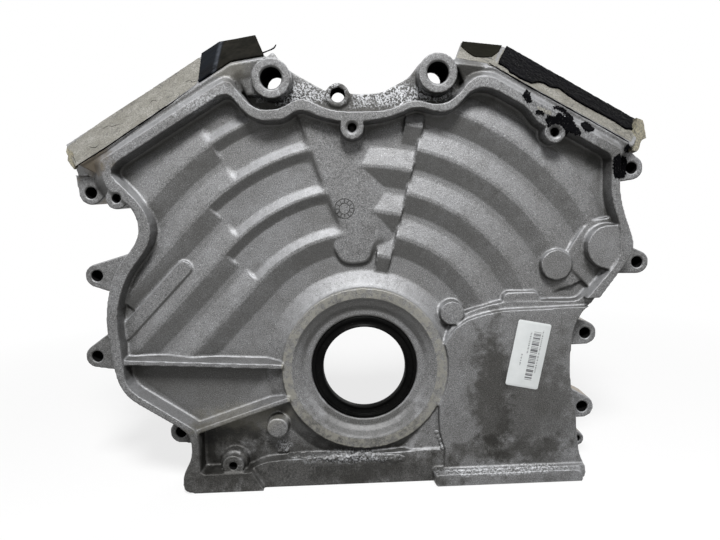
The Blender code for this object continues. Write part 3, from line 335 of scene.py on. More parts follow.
# %% [markdown]
# ## The casting
#
# The real cover is cast in a mould, so none of its corners is sharp: each inner corner has a
# fillet and each rim is rounded. A Bevel modifier would need clean edges, which a solid cut
# by hundreds of Booleans doesn't have. A voxel remesh doesn't care how the edges run: it
# builds one even skin over the whole solid, and a few rounds of smoothing then turn every
# corner into the soft radius that a casting has. The even mesh is thinned at the end.


# %% Helpers for solids
MERGE_REACH = 0.00001


def make_active(piece):
    bpy.ops.object.select_all(action="DESELECT")
    piece.select_set(True)
    bpy.context.view_layer.objects.active = piece


def copy_solid(node_name, piece_name):
    """Copy of a frame solid with a mesh of its own, its loose triangles merged."""
    source = frame["nodes"][node_name]
    mesh = source.data.copy()
    mesh.transform(source.matrix_world)
    piece = put_in_scene(piece_name, mesh)
    make_active(piece)
    bpy.ops.object.mode_set(mode="EDIT")
    bpy.ops.mesh.select_all(action="SELECT")
    bpy.ops.mesh.remove_doubles(threshold=MERGE_REACH)
    bpy.ops.object.mode_set(mode="OBJECT")
    piece.data.materials.clear()
    return piece


def finish_with(piece, kind, **settings):
    """Adds a modifier, sets it and applies it."""
    modifier = piece.modifiers.new(kind.lower(), kind)
    for key, value in settings.items():
        setattr(modifier, key, value)
    make_active(piece)
    bpy.ops.object.modifier_apply(modifier=modifier.name)


def even_skin(piece, voxel):
    """Voxel remesh: one even skin over a piece, whatever its edges are like."""
    finish_with(piece, "REMESH", mode="VOXEL", voxel_size=voxel, adaptivity=0.0)


def soften(piece, rounds, group=""):
    """Rounds of smoothing, all over or by a vertex group's weights."""
    finish_with(piece, "SMOOTH", factor=0.5, iterations=rounds, vertex_group=group)


def smooth_shade(piece, degrees):
    make_active(piece)
    bpy.ops.object.shade_smooth_by_angle(angle=math.radians(degrees))


def triangles(piece):
    return sum(len(face.vertices) - 2 for face in piece.data.polygons)


def fasten(piece, finish, node_name=None):
    """Gives a piece its finish and its body, and hides the solid it stands for."""
    piece.data.materials.clear()
    piece.data.materials.append(finish)
    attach(piece, "root")
    if node_name:
        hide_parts(node_name)
    print(piece.name, "has", triangles(piece), "triangles")


def lumpy(piece, grain, strength):
    """Pushes a mesh in and out by a cloud texture, as a torn or poured stuff is."""
    cloud = bpy.data.textures.new(piece.name + "_cloud", "CLOUDS")
    cloud.noise_scale = grain
    finish_with(piece, "DISPLACE", texture=cloud, strength=strength, mid_level=0.5)


# %% Round the casting
CAST_VOXEL = 0.0010
CAST_SMOOTHING = 2
CAST_TRIANGLES = 190000

casting = copy_solid("timing_cover_casting", "cast_cover")
even_skin(casting, CAST_VOXEL)
soften(casting, CAST_SMOOTHING)
print("the even skin has", triangles(casting), "triangles")

# %% [markdown]
# The raised middle of the wall runs out softly on its left side, and so do the starts of three
# ripples. A vertex group, which smoothing can follow, marks these places. Then the mesh is
# thinned, and since smoothing and thinning can push a point a hair outwards, each point is
# held inside the solids' box.

# %% Soften four places more
SOFT_TOP = Vector((-0.046, 0.0, 0.312))
SOFT_FOOT = Vector((-0.012, 0.0, 0.217))
SOFT_REACH = 0.013
SOFT_DEEPEST = 0.009
SOFT_ROUNDS = 40
SPOT_PIXELS = ((206, 136), (231, 174), (233, 229))
SPOT_REACH = 0.009

spots = [on_skin(pixel, cad_skin)[0] for pixel in SPOT_PIXELS]
soft_group = casting.vertex_groups.new(name="soft_edge")
soft_length = (SOFT_FOOT - SOFT_TOP).length
along = (SOFT_FOOT - SOFT_TOP).normalized()
for vertex in casting.data.vertices:
    from_top = Vector((vertex.co.x, 0.0, vertex.co.z)) - SOFT_TOP
    run = from_top.dot(along)
    aside = (from_top - along * run).length
    if aside < SOFT_REACH and 0.0 < run < soft_length and vertex.co.y < SOFT_DEEPEST:
        soft_group.add([vertex.index], min(1.0, 2.0 * (1.0 - aside / SOFT_REACH)), "REPLACE")
    for spot in spots:
        away = (vertex.co - spot).length
        if away < SPOT_REACH:
            soft_group.add([vertex.index], 1.0 - away / SPOT_REACH, "REPLACE")
soften(casting, SOFT_ROUNDS, "soft_edge")

# %% Thin the mesh and hold it inside the box
finish_with(casting, "DECIMATE", ratio=CAST_TRIANGLES / triangles(casting))
for vertex in casting.data.vertices:
    limits = zip(vertex.co, cad_low, cad_high)
    vertex.co = [min(max(value, low), high) for value, low, high in limits]
smooth_shade(casting, 180)
cast_surface = skin_of(casting)
print("the casting is thinned to", triangles(casting), "triangles")

# %% [markdown]
# The lamp above leaves deep corners in shade, most of all under a rail or rib, and the finish
# paints that shade into the colour. How sheltered a point lies is measured by looking from it in
# all directions, with more weight on the looks that go up: the share that meets the casting again
# within two centimetres is kept on the mesh as an attribute, which the finish reads below.

# %% Measure how buried each point is
BURY_REACH = 0.020
BURY_START = 0.0012
UPWARD_WEIGHT = 2.2
LOWEST_LOOK = 0.30
SIDES = (-1, 0, 1)
LOOKS = [Vector((x, y, z)).normalized() for x in SIDES for y in SIDES for z in SIDES
         if (x, y, z) != (0, 0, 0)]


def buried(vertex):
    """Weighted share of looks from a point that meet the casting again."""
    met = 0.0
    tried = 0.0
    start = vertex.co + vertex.normal * BURY_START
    for look in LOOKS:
        if look.dot(vertex.normal) < LOWEST_LOOK:
            continue
        weight = 1.0 + UPWARD_WEIGHT * max(0.0, look.z)
        tried += weight
        if cast_surface.ray_cast(start, look, BURY_REACH)[0]:
            met += weight
    return met / max(tried, 1.0)


bury = casting.data.attributes.new("bury", "FLOAT", "POINT")
depths = [buried(vertex) for vertex in casting.data.vertices]
bury.data.foreach_set("value", depths)
print("mean share of blocked looks:", round(sum(depths) / len(depths), 3))

# %% [markdown]
# ## The finish of the casting
#
# Cast aluminium is grey and grainy, and under a lamp each grain sparkles. Six noises of different
# scale give the broad clouds, the blotches, the pits, the dark flecks, the grain and white specks,
# painted glints that stand in for that sparkle. All of them read the object's coordinates, in
# metres, so the skin keeps its scale and shows no seam, which an unwrapped image would.

# %% Cast skin: scale, detail and roughness of each noise
CLOUDS = (9.0, 6.0, 0.62)
BLOTCHES = (60.0, 6.0, 0.68)
PITS = (210.0, 4.0, 0.70)
FLECKS = (560.0, 4.0, 0.72)
GRAIN = (1150.0, 3.0, 0.60)
GLINTS = (1700.0, 2.0, 0.50)
CAST_DARK = (0.140, 0.139, 0.137)
CAST_LIGHT = (0.205, 0.207, 0.212)
BLOTCH_GREY = (0.100, 0.098, 0.095)
GLINT_WHITE = (0.62, 0.63, 0.65)
FLECK_GREY = (0.055, 0.053, 0.050)
GRAIN_SHARE = 0.75

cast_skin, tree, shader = start_finish("cast_skin")
place = object_place(tree)
clouds, blotches, pits, flecks, grain, glints = [
    noise_on(place, *row) for row in (CLOUDS, BLOTCHES, PITS, FLECKS, GRAIN, GLINTS)]

skin = mix(spread(clouds, 0.30, 0.70), CAST_DARK, CAST_LIGHT)
skin = mix(spread(blotches, 0.58, 0.36, 0.0, 0.45), skin, BLOTCH_GREY)
speckle = spread(grain, 0.30, 0.72, 0.12, 0.88)
speckle_grey = feed_node("ShaderNodeCombineXYZ", (speckle,) * 3)[0]
skin = mix(GRAIN_SHARE, skin, speckle_grey, "OVERLAY")
# white specks painted into the colour as glints
skin = mix(spread(glints, 0.64, 0.70, 0.0, 0.65), skin, GLINT_WHITE)
skin = mix(spread(flecks, 0.36, 0.30, 0.0, 0.55), skin, FLECK_GREY)
print("bare cast skin has", len(tree.nodes), "nodes")

# %% [markdown]
# Hands, bolts and brushes rub what stands out, so the finest rims, which the mesh's pointiness
# finds, are lighter. Its finest hollows get painted shade, and the sheltered places that the
# attribute measured above finds get a deeper painted shade. What faces down is painted darker as
# shade, and what faces up is painted brighter as light.

# %% Wear on the rims, painted shade in hollows and sheltered places
RUBBED_BRIGHT = (0.60, 0.61, 0.63)
HOLLOW_SHADE = (0.060, 0.056, 0.048)
SHELTER_SHADE = (0.026, 0.025, 0.021)

pointiness = add_node(tree, "ShaderNodeNewGeometry").outputs["Pointiness"]
corners = spread(pointiness, 0.53, 0.64, 0.0, 0.6)
hollows = spread(pointiness, 0.470, 0.400)
corners = product(corners, spread(pits, 0.38, 0.55))
skin = mix(corners, skin, RUBBED_BRIGHT)
# painted shade in the finest hollows
skin = mix(product(hollows, 0.6), skin, HOLLOW_SHADE)
deep = add_node(tree, "ShaderNodeAttribute", attribute_name="bury").outputs["Fac"]
# painted shade in sheltered places, most of all under rails and ribs
painted_shade = product(spread(deep, 0.20, 0.62, 0.0, 0.92), spread(clouds, 0.2, 0.6, 0.75, 1.0))
skin = mix(painted_shade, skin, SHELTER_SHADE)

# %% Painted shade on undersides and painted light on upper sides
UNDERSIDE_SHADE = (0.062, 0.061, 0.058)
UPPER_LIGHT = (0.350, 0.354, 0.365)

facing = axes_of(add_node(tree, "ShaderNodeNewGeometry").outputs["Normal"])
# faces that look down are painted darker as shade
under = product(spread(facing["Z"], -0.05, -0.22, 0.0, 0.72), spread(facing["Y"], 0.2, -0.4))
skin = mix(under, skin, UNDERSIDE_SHADE)
# faces that look up are painted brighter as light
over = product(spread(facing["Z"], 0.12, 0.50, 0.0, 0.75),
               spread(pits, 0.35, 0.55, 0.55, 1.0),
               spread(facing["Z"], 0.66, 0.90, 1.0, 0.15))
skin = mix(over, skin, UPPER_LIGHT)
print("cast skin with wear has", len(tree.nodes), "nodes")

# %% [markdown]
# On top of that skin lie stains with a place of their own: oil, baked-on brown and beige deposits
# and black sealant. The oil colour also paints shadow into the pocket under the diagonal rib, and
# the bright spots are painted highlights. Each is a soft ball in the object's coordinates whose
# border a noise makes ragged. Oil is multiplied in, so the grain stays visible through it, and the
# others cover the skin.

# %% Stains, painted shade and painted highlights, in metres: middle, reach, colour, strength
OIL_AND_SHADE = (0.310, 0.300, 0.275)
BROWN = (0.110, 0.088, 0.060)
BEIGE = (0.270, 0.255, 0.205)
BLACK = (0.018, 0.018, 0.018)
PAINTED_HIGHLIGHT = (0.560, 0.570, 0.590)
STAINS = [
    ((0.107, -0.006, 0.075), (0.020, 0.030, 0.075), OIL_AND_SHADE, 0.78),
    ((0.150, -0.006, 0.050), (0.045, 0.030, 0.060), OIL_AND_SHADE, 0.50),
    ((0.120, -0.006, 0.028), (0.070, 0.030, 0.014), OIL_AND_SHADE, 0.70),
    ((-0.060, 0.000, 0.014), (0.120, 0.050, 0.030), OIL_AND_SHADE, 0.74),
    ((-0.135, 0.000, 0.020), (0.050, 0.060, 0.050), OIL_AND_SHADE, 0.75),
    # painted shadow under the diagonal rib
    ((-0.118, 0.006, 0.046), (0.040, 0.012, 0.012), OIL_AND_SHADE, 0.95),
    # darker strip on the pocket's left wall
    ((-0.136, 0.002, 0.032), (0.006, 0.020, 0.022), OIL_AND_SHADE, 0.90),
    ((0.020, 0.000, 0.010), (0.080, 0.050, 0.022), OIL_AND_SHADE, 0.72),
    ((0.000, -0.002, 0.052), (0.062, 0.030, 0.028), OIL_AND_SHADE, 0.62),
    ((0.000, -0.015, 0.240), (0.300, 0.008, 0.200), OIL_AND_SHADE, 0.24),
    ((-0.215, 0.006, 0.284), (0.022, 0.050, 0.018), BROWN, 0.75),
    ((-0.098, -0.002, 0.350), (0.018, 0.030, 0.009), BEIGE, 0.25),
    ((-0.090, -0.006, 0.340), (0.012, 0.020, 0.010), OIL_AND_SHADE, 0.70),
    ((0.092, -0.002, 0.345), (0.012, 0.020, 0.014), OIL_AND_SHADE, 0.80),
    ((0.150, -0.008, 0.304), (0.034, 0.020, 0.018), BLACK, 0.60),
    ((-0.105, 0.004, 0.062), (0.055, 0.030, 0.014), BEIGE, 0.25),
    ((-0.235, 0.020, 0.130), (0.035, 0.060, 0.080), OIL_AND_SHADE, 0.40),
    # darker band on the floor just under the top rail
    ((0.000, 0.010, 0.328), (0.120, 0.012, 0.022), OIL_AND_SHADE, 0.85),
    ((0.205, 0.010, 0.275), (0.020, 0.040, 0.020), OIL_AND_SHADE, 0.60),
    # the next three: speckled painted highlights near the top
    ((-0.045, 0.011, 0.332), (0.040, 0.020, 0.012), PAINTED_HIGHLIGHT, 0.75),
    ((0.035, 0.011, 0.328), (0.050, 0.020, 0.011), PAINTED_HIGHLIGHT, 0.80),
    ((-0.118, -0.010, 0.322), (0.030, 0.016, 0.012), PAINTED_HIGHLIGHT, 0.40),
    # painted highlight along the top of the pan lip
    ((0.115, -0.011, 0.0108), (0.068, 0.008, 0.0040), PAINTED_HIGHLIGHT, 0.85),
    ((0.130, -0.006, 0.080), (0.062, 0.020, 0.080), OIL_AND_SHADE, 0.36),
    # painted highlight on the rough strip
    ((-0.020, -0.003, 0.0240), (0.052, 0.020, 0.0065), PAINTED_HIGHLIGHT, 0.60),
    ((-0.060, 0.004, 0.030), (0.075, 0.030, 0.026), BLACK, 0.40),
    ((-0.040, -0.003, 0.010), (0.130, 0.030, 0.012), BLACK, 0.35),
    # painted highlight on the lump
    ((-0.072, 0.000, 0.0330), (0.008, 0.020, 0.0070), PAINTED_HIGHLIGHT, 0.50),
]
RAG_SCALE = 95.0
RAG_REACH = 0.38

ragged = noise_on(place, RAG_SCALE, 5.0, 0.65)
rag = spread(ragged, 0.3, 0.7, -RAG_REACH, RAG_REACH)
patchy = spread(flecks, 0.47, 0.56)
for middle, reach, colour, strength in STAINS:
    away = away_from(place, middle, [1.0 / side for side in reach])
    cover = spread(calculate("ADD", away, rag), 1.0, 0.55, 0.0, strength)
    if colour in (PAINTED_HIGHLIGHT, BLACK):
        cover = product(cover, patchy)
    skin = mix(cover, skin, colour, "MULTIPLY" if colour is OIL_AND_SHADE else "MIX")
print(len(STAINS), "stains lie on the skin")

# %% [markdown]
# A ring round the seal has a worn, dusty film where the pulley's dust shield ran. On the chain
# side years of hot oil have varnished the wall, and the faces that bolt up are milled and so
# brighter and smoother. Each of these follows from where a point lies and how it faces, so no
# mesh has to be cut for them.

# %% The ring that the pulley's dust shield rubs on
CRANK = Vector((0.0, 0.0, 0.1015))
RING_INNER = 0.0612
RING_OUTER = 0.0702
RING_DEEPEST = 0.0035
SHIELD_FILM = (0.250, 0.243, 0.212)

radius = away_from(place, CRANK)
depth = axes_of(place)["Y"]
film = product(spread(radius, RING_INNER, RING_INNER + 0.0004),
               spread(radius, RING_OUTER, RING_OUTER - 0.0006),
               spread(depth, RING_DEEPEST, 0.0),
               spread(pits, 0.42, 0.58, 0.15, 0.80))
skin = mix(film, skin, SHIELD_FILM)

# %% Varnish on the chain side, and milled faces
VARNISH_START = 0.012
VARNISH_FULL = 0.016
MILLED_START = 0.0362
MILLED_FULL = 0.0366
HOT_OIL = (0.270, 0.205, 0.120)
MILLED_GREY = (0.52, 0.52, 0.53)

varnish = product(spread(depth, VARNISH_START, VARNISH_FULL),
                  spread(facing["Y"], -0.5, 0.2),
                  spread(clouds, 0.35, 0.62, 0.30, 0.75))
skin = mix(varnish, skin, HOT_OIL)
milled = product(spread(depth, MILLED_START, MILLED_FULL), spread(facing["Y"], 0.80, 0.95))
skin = mix(product(milled, 0.8), skin, MILLED_GREY)
print("cast skin with both sides has", len(tree.nodes), "nodes")

# %% [markdown]
# Inside a bolt hole light finds no way out, so its wall is painted black as shade. A white world
# would still shine off its wall at a flat angle, so gloss and metal are taken out there as well.

# %% Bolt holes, in metres: x, z, radius
HOLES = [
    (-0.2206, 0.2572, 0.0050), (-0.2229, 0.1878, 0.0050), (-0.2289, 0.1181, 0.0050),
    (-0.1621, 0.0473, 0.0050), (0.2292, 0.2624, 0.0050), (0.2360, 0.1829, 0.0050),
    (0.1922, 0.1225, 0.0050), (0.1906, 0.0562, 0.0050), (0.1861, 0.0268, 0.0034),
    (-0.0034, 0.3012, 0.0038), (0.1582, 0.2923, 0.0038), (-0.1939, 0.2520, 0.0038),
    (-0.1149, 0.0225, 0.0038), (-0.0655, 0.3410, 0.0125), (0.0655, 0.3410, 0.0125),
    (-0.0142, 0.3294, 0.0070),
]
HOLE_EDGE = 0.0003
HOLE_SHADE_BLACK = (0.008, 0.008, 0.008)
CAST_METALLIC = 0.32
CAST_SHINE = 0.28

hole_shade = None
not_front = spread(facing["Y"], -0.75, -0.45)
for x, z, reach in HOLES:
    away = away_from(place, (x, 0.0, z))
    inside = product(spread(away, reach + HOLE_EDGE, reach - HOLE_EDGE), not_front)
    # painted shade inside each hole
    skin = mix(inside, skin, HOLE_SHADE_BLACK)
    hole_shade = calculate("MAXIMUM", hole_shade, inside) if hole_shade else inside
for socket_name, value in (("Metallic", CAST_METALLIC), ("Specular IOR Level", CAST_SHINE)):
    join(spread(hole_shade, 0.0, 1.0, value, 0.0), shader.inputs[socket_name])
join(skin, shader.inputs["Base Color"])
print(len(HOLES), "holes are dark inside")

# %% Gloss and relief of the skin
RELIEF_STRENGTH = 0.75
RELIEF_HEIGHT = 0.0006

gloss = spread(blotches, 0.3, 0.7, 0.38, 0.50)
gloss = calculate("ADD", gloss, product(grain, 0.10))
gloss = calculate("SUBTRACT", gloss, product(milled, 0.14))
join(gloss, shader.inputs["Roughness"])
relief = calculate("ADD", product(pits, 0.9), product(grain, 0.6))
relief = product(relief, calculate("SUBTRACT", 1.0, product(milled, 0.8)))
bump(shader, relief, RELIEF_STRENGTH, RELIEF_HEIGHT)
fasten(casting, cast_skin, "timing_cover_casting")
print("cast skin has", len(tree.nodes), "nodes")

# %% [markdown]
# ## Sealant on the head faces
#
# Liquid sealant was spread on the leaning faces before the covers went on. It came off with
# them as a thin speckled cream film with a black line along its lower edge, where the bead
# was squeezed out. Each film is a disc whose rim is moved to the film's outline and then
# extruded to its thickness.

# %% Planes of the two head faces
OVER_MOUNT = 0.002


def metal_face(mount_name):
    """Point and direction of the metal under a mount that lies on rubber."""
    mount = next(m for m in frame["record"]["mounts"] if m["name"] == mount_name)
    outwards = Vector(mount["axis"]).normalized()
    middle = Vector(mount["pos_m"])
    place, _, _, _ = cad_skin.ray_cast(middle + outwards * OVER_MOUNT, -outwards)
    print(mount_name, "is", round(1000 * (middle - place).dot(outwards), 2), "mm over metal")
    return place, outwards


def facet_face(pixels):
    """Plane of the metal through three pixels of a facet."""
    first, second, third = [on_skin(pixel, cad_skin)[0] for pixel in pixels]
    outwards = (second - first).cross(third - first).normalized()
    return first, outwards if outwards.z > 0 else -outwards


LEFT_FACE = metal_face("left_head_face")
RIGHT_FACE = metal_face("right_head_face")
RIGHT_FACET = facet_face([(459, 54), (498, 48), (494, 62)])

# %% Sealant finish
SPECK_GREY = (0.095, 0.090, 0.078)
WORN_GREY = (0.120, 0.110, 0.090)
CRACK_BLACK = (0.03, 0.03, 0.03)


def sealant_finish(name, light, dark, crack_share):
    """Cream sealant, speckled with grey metal that shows through."""
    finish, tree, shader = start_finish(name, roughness=0.55)
    place = object_place(tree)
    cloudy = noise_on(place, 70.0, 6.0, 0.70)
    specks = noise_on(place, 760.0, 4.0, 0.75)
    colour = mix(spread(cloudy, 0.35, 0.65), dark, light)
    colour = mix(spread(specks, 0.53, 0.44, 0.0, 0.9), colour, SPECK_GREY)
    worn = spread(noise_on(place, 30.0, 5.0, 0.7), 0.52, 0.64, 0.0, 0.55)
    colour = mix(worn, colour, WORN_GREY)
    cracks = add_node(tree, "ShaderNodeTexVoronoi", {"Scale": 150.0}, feature="DISTANCE_TO_EDGE")
    join(place, cracks.inputs["Vector"])
    where = spread(noise_on(place, 38.0, 3.0), 0.54, 0.60, 0.0, crack_share)
    torn = product(spread(cracks.outputs["Distance"], 0.05, 0.01), where)
    colour = mix(torn, colour, CRACK_BLACK)
    join(colour, shader.inputs["Base Color"])
    bump(shader, calculate("SUBTRACT", specks, torn), 0.5, 0.0004)
    return finish


cream = sealant_finish("cream_sealant", (0.300, 0.293, 0.264), (0.165, 0.158, 0.130), 1.0)

# %% Shape the films
FILM_GAP = 0.00005
FILM_THICKNESS = 0.00018
FILM_STEP = 0.0012
FILM_WAVES = 260.0
BACK_EDGE = 0.0362


def torn_outline(pixels, face, raggedness):
    """Outline on a face through pixels, with a point each FILM_STEP, made ragged by a noise."""
    point, outwards = face
    corners = [on_plane(pixel, point, outwards) for pixel in pixels]
    outline = []
    for start, end in zip(corners, corners[1:] + corners[:1]):
        count = max(1, round((end - start).length / FILM_STEP))
        across = (end - start).cross(outwards).normalized()
        for step in range(count):
            place = start.lerp(end, step / count)
            place = place + across * raggedness * noise.noise(place * FILM_WAVES)
            if place.y > BACK_EDGE:
                forward = Vector((0.0, -1.0, 0.0)) + outwards * outwards.y
                place = place + forward * ((BACK_EDGE - place.y) / forward.y)
            outline.append(place)
    return outline


def film_piece(name, pixels, face, finish, raggedness=0.0006, thickness=FILM_THICKNESS,
               gap=FILM_GAP):
    """Thin film on a face: a disc whose rim goes to the outline, extruded to its thickness."""
    outline = torn_outline(pixels, face, raggedness)
    bpy.ops.mesh.primitive_circle_add(vertices=len(outline), radius=0.01, fill_type="NGON")
    film = bpy.context.object
    film.name = name
    for vertex, place in zip(film.data.vertices, outline):
        vertex.co = place + face[1] * gap
    bpy.ops.object.mode_set(mode="EDIT")
    bpy.ops.mesh.select_all(action="SELECT")
    bpy.ops.mesh.quads_convert_to_tris()
    bpy.ops.mesh.extrude_region_move(TRANSFORM_OT_translate={"value": face[1] * thickness})
    bpy.ops.mesh.select_all(action="SELECT")
    bpy.ops.mesh.normals_make_consistent(inside=False)
    bpy.ops.object.mode_set(mode="OBJECT")
    smooth_shade(film, 30)
    fasten(film, finish)


film_piece("left_sealant_film",
           [(66.8, 147.2), (104, 119.8), (151.6, 89.6), (198.5, 58.2), (210, 62), (196, 84.5),
            (167.6, 105.0), (135.7, 126.6), (103.8, 148.2), (75.6, 166.4)], LEFT_FACE, cream)
film_piece("right_sealant_film",
           [(503, 49.5), (560, 78), (600, 99.5), (640.5, 121.5), (631, 142), (600, 124.5),
            (560, 102.5), (520, 80.5), (495, 66.5)], RIGHT_FACE, cream)
film_piece("right_facet_film",
           [(462.5, 43.5), (500.0, 47.0), (493.5, 64.5), (456.5, 58.0)], RIGHT_FACET, cream, 0.0003)

# %% [markdown]
# ## The black rubber
#
# Three pieces of the old rubber gasket are left. The solids give them their outlines; here
# they get soft edges, a torn surface and their own finishes: the left one is glossy and blue
# black on the long face and worn matt past the bend, the right one is coarse and speckled,
# and the film on the right apex is worn down to a dull skin.

# %% Rubber finishes
RUBBER_SHINE = 0.006
RUBBER_DUST = (0.20, 0.20, 0.19)


def rubber_finish(name, colour, shine, roughness, speckle_share):
    """Black rubber in two tones, with specks of dust in a share of their own."""
    finish, tree, shader = start_finish(name, roughness=roughness)
    shader.inputs["Specular IOR Level"].default_value = RUBBER_SHINE
    place = object_place(tree)
    cloudy = noise_on(place, 45.0, 5.0, 0.65)
    specks = noise_on(place, 700.0, 3.0, 0.70)
    tone = mix(spread(cloudy, 0.35, 0.70), colour, shine)
    dust = spread(specks, 0.63, 0.72, 0.0, speckle_share)
    join(mix(dust, tone, RUBBER_DUST), shader.inputs["Base Color"])
    dull = spread(cloudy, 0.3, 0.7, roughness - 0.08, roughness + 0.14)
    join(dull, shader.inputs["Roughness"])
    bump(shader, specks, 0.15, 0.0002)
    return finish, tree, shader


black_gloss, tree, shader = rubber_finish("left_rubber", (0.003, 0.0035, 0.0045),
                                          (0.007, 0.009, 0.012), 0.30, 0.08)
black_torn, _, _ = rubber_finish("right_rubber", (0.0015, 0.0015, 0.0018), (0.005, 0.005, 0.006),
                                 0.42, 0.50)
black_dull, _, _ = rubber_finish("apex_rubber", (0.007, 0.0068, 0.005), (0.014, 0.0135, 0.010),
                                 0.62, 0.10)

# %% The left rubber is matt past its bend, with a painted highlight along the bend
KNEE_PIXEL = (221, 52)
MATT_DARK = (0.009, 0.0088, 0.0075)
MATT_LIGHT = (0.017, 0.016, 0.0135)
GLINT_BLUE = (0.060, 0.066, 0.078)

knee_x = on_plane(KNEE_PIXEL, *LEFT_FACE).x
across = axes_of(object_place(tree))["X"]
past_knee = spread(across, knee_x - 0.0006, knee_x + 0.0022)
wear = noise_on(object_place(tree), 130.0, 4.0, 0.7)
matt = mix(spread(wear, 0.4, 0.65), MATT_DARK, MATT_LIGHT)
# painted highlight along the bend
glint = product(spread(across, knee_x - 0.0042, knee_x - 0.0018),
                spread(across, knee_x + 0.0010, knee_x - 0.0006),
                spread(wear, 0.36, 0.60, 0.0, 0.8))
base = shader.inputs["Base Color"].links[0].from_socket
tone = mix(glint, mix(past_knee, base, matt), GLINT_BLUE)
join(tone, shader.inputs["Base Color"])
shine = shader.inputs["Roughness"].links[0].from_socket
dull = calculate("ADD", shine, product(past_knee, 0.38))
join(dull, shader.inputs["Roughness"])
print("the left rubber bends at x =", round(1000 * knee_x, 1), "mm")

# %% Soften the rubber pieces: node, piece, finish, slot, size and height of the lumps
RUBBER_VOXEL = 0.00042
RUBBER_TRIANGLES = 60000

for node_name, piece_name, finish, slot, cloud_grain, cloud_strength in (
        ("left_gasket_remnant", "left_rubber", black_gloss, "black_rubber", 0.012, 0.00030),
        ("right_gasket_remnant", "right_rubber", black_torn, "black_rubber", 0.0032, 0.00075),
        ("right_apex_gasket_patch", "apex_rubber", black_dull, "dull_rubber", 0.004, 0.00022)):
    rubber = copy_solid(node_name, piece_name)
    even_skin(rubber, RUBBER_VOXEL)
    soften(rubber, 3)
    lumpy(rubber, cloud_grain, cloud_strength)
    finish_with(rubber, "DECIMATE", ratio=min(1.0, RUBBER_TRIANGLES / triangles(rubber)))
    smooth_shade(rubber, 180)
    fasten(rubber, finish, node_name)

# %% [markdown]
# ## Beads and strands
#
# Along the lower edge of each film the squeezed-out bead has turned black. A thread of torn
# rubber stands up at the left apex, and short shreds lie on the left film. All of them are
# curves with a round section, made a mesh at the end: a curve can be led through a few places
# and thinned at its ends, where a mesh would have to be pulled out ring by ring.


# %% Threads
THREAD_END = 0.45
THREAD_WAVES = 300.0
BEAD_STEP = 0.004
BEAD_WAVES = 190.0


def curve_to_mesh(name, curve):
    """A curve with a section, put in the scene and made a mesh."""
    line = put_in_scene(name, curve)
    make_active(line)
    bpy.ops.object.convert(target="MESH")
    smooth_shade(line, 60)
    return line


def thread_piece(name, places, thickness):
    """Thread of black rubber through places, thinner at both ends."""
    curve = bpy.data.curves.new(name, "CURVE")
    curve.dimensions = "3D"
    curve.bevel_depth = thickness / 2
    curve.bevel_resolution = 2
    curve.resolution_u = 6
    curve.use_fill_caps = True
    spline = curve.splines.new("NURBS")
    spline.points.add(len(places) - 1)
    spline.use_endpoint_u = True
    spline.order_u = 3
    for index, (point, place) in enumerate(zip(spline.points, places)):
        point.co = (*place, 1.0)
        at_end = index in (0, len(places) - 1)
        point.radius = THREAD_END if at_end else 0.8 + 0.5 * noise.noise(place * THREAD_WAVES)
    fasten(curve_to_mesh(name, curve), black_torn)


def along_face(pixels, face, lift, wobble=0.00025):
    """Places along a line of pixels on a face, a little uneven."""
    point, outwards = face
    corners = [on_plane(pixel, point, outwards) for pixel in pixels]
    places = []
    for start, end in zip(corners, corners[1:]):
        count = max(1, round((end - start).length / BEAD_STEP))
        for step in range(count):
            place = start.lerp(end, step / count)
            sway = Vector((0.0, 0.0, wobble * noise.noise(place * BEAD_WAVES)))
            places.append(place + sway + outwards * lift)
    return places + [corners[-1] + outwards * lift]


# %% Beads under both films
LEFT_BEAD = [(74.5, 167.5), (104, 148.9), (136, 127.1), (167.6, 105.7), (194, 87.6)]
RIGHT_BEAD = [(489, 63.5), (520, 81.5), (560, 103.7), (600, 126.0), (629, 142.4)]

thread_piece("left_bead", along_face(LEFT_BEAD, LEFT_FACE, 0.0001), 0.0012)
thread_piece("right_bead", along_face(RIGHT_BEAD, RIGHT_FACE, 0.0001), 0.0013)

# %% The torn strand and its free end, and the shreds
STRAND = ((216, 67.5), (222, 64.2), (229, 61.6), (238, 58.8), (247, 56.8), (256, 54.6),
          (264, 52.6), (268.5, 51.2))
WHISKER = ((263, 52.8), (268, 50.8), (272.5, 49.0), (275.0, 47.0), (276.0, 44.5))
SHREDS = (((186, 82.5), (190, 80.5), (193, 82.8), (197, 81.0)),
          ((103, 129.0), (108, 126.0), (113, 126.8), (120, 124.3)),
          ((69, 150.0), (73, 156.0), (76.5, 163.5)),
          ((84, 151.0), (88, 146.5), (96, 148.5), (99, 145.0)),
          ((150, 103.0), (153, 100.5), (157, 101.0)))
STRAND_LIFT = 0.0002

strand = []
for pixel in STRAND:
    place, normal = on_skin(pixel, cast_surface)
    if place:
        strand.append(place + normal * STRAND_LIFT)
whisker_foot = strand[-1]
strand += [on_plane(pixel, whisker_foot, Vector((0.0, -1.0, 0.0))) for pixel in WHISKER]
thread_piece("left_strand", strand, 0.0015)
for index, pixels in enumerate(SHREDS):
    places = along_face(pixels, LEFT_FACE, 0.0002, 0.0006)
    thread_piece("left_mark_%d" % (index + 1), places, 0.0006)

# %% [markdown]
# ## Smears
#
# Black and cream smears lie round the right rail boss and the right end, where the sealant was
# wiped off. They drape over rail, boss and corners alike, so a flat film won't do. Each is a
# fine grid over the smear's outline as the camera sees it: every point goes down its line of
# sight to the casting, the faces outside the ragged outline or across a jump in depth are
# deleted, and Solidify gives the rest its thickness.

# %% Smears, draped on the casting
DRAPE_STEP = 0.4
DRAPE_JUMP = 0.0016
DRAPE_LIFT = 0.00008
DRAPE_LUMPS = 0.0005
DRAPE_WAVES = 0.55


def inside_outline(x, y, outline):
    """Whether a point lies inside a closed row of corners."""
    inside = False
    for (x0, y0), (x1, y1) in zip(outline, outline[1:] + outline[:1]):
        if (y0 > y) != (y1 > y) and x < x0 + (x1 - x0) * (y - y0) / (y1 - y0):
            inside = not inside
    return inside


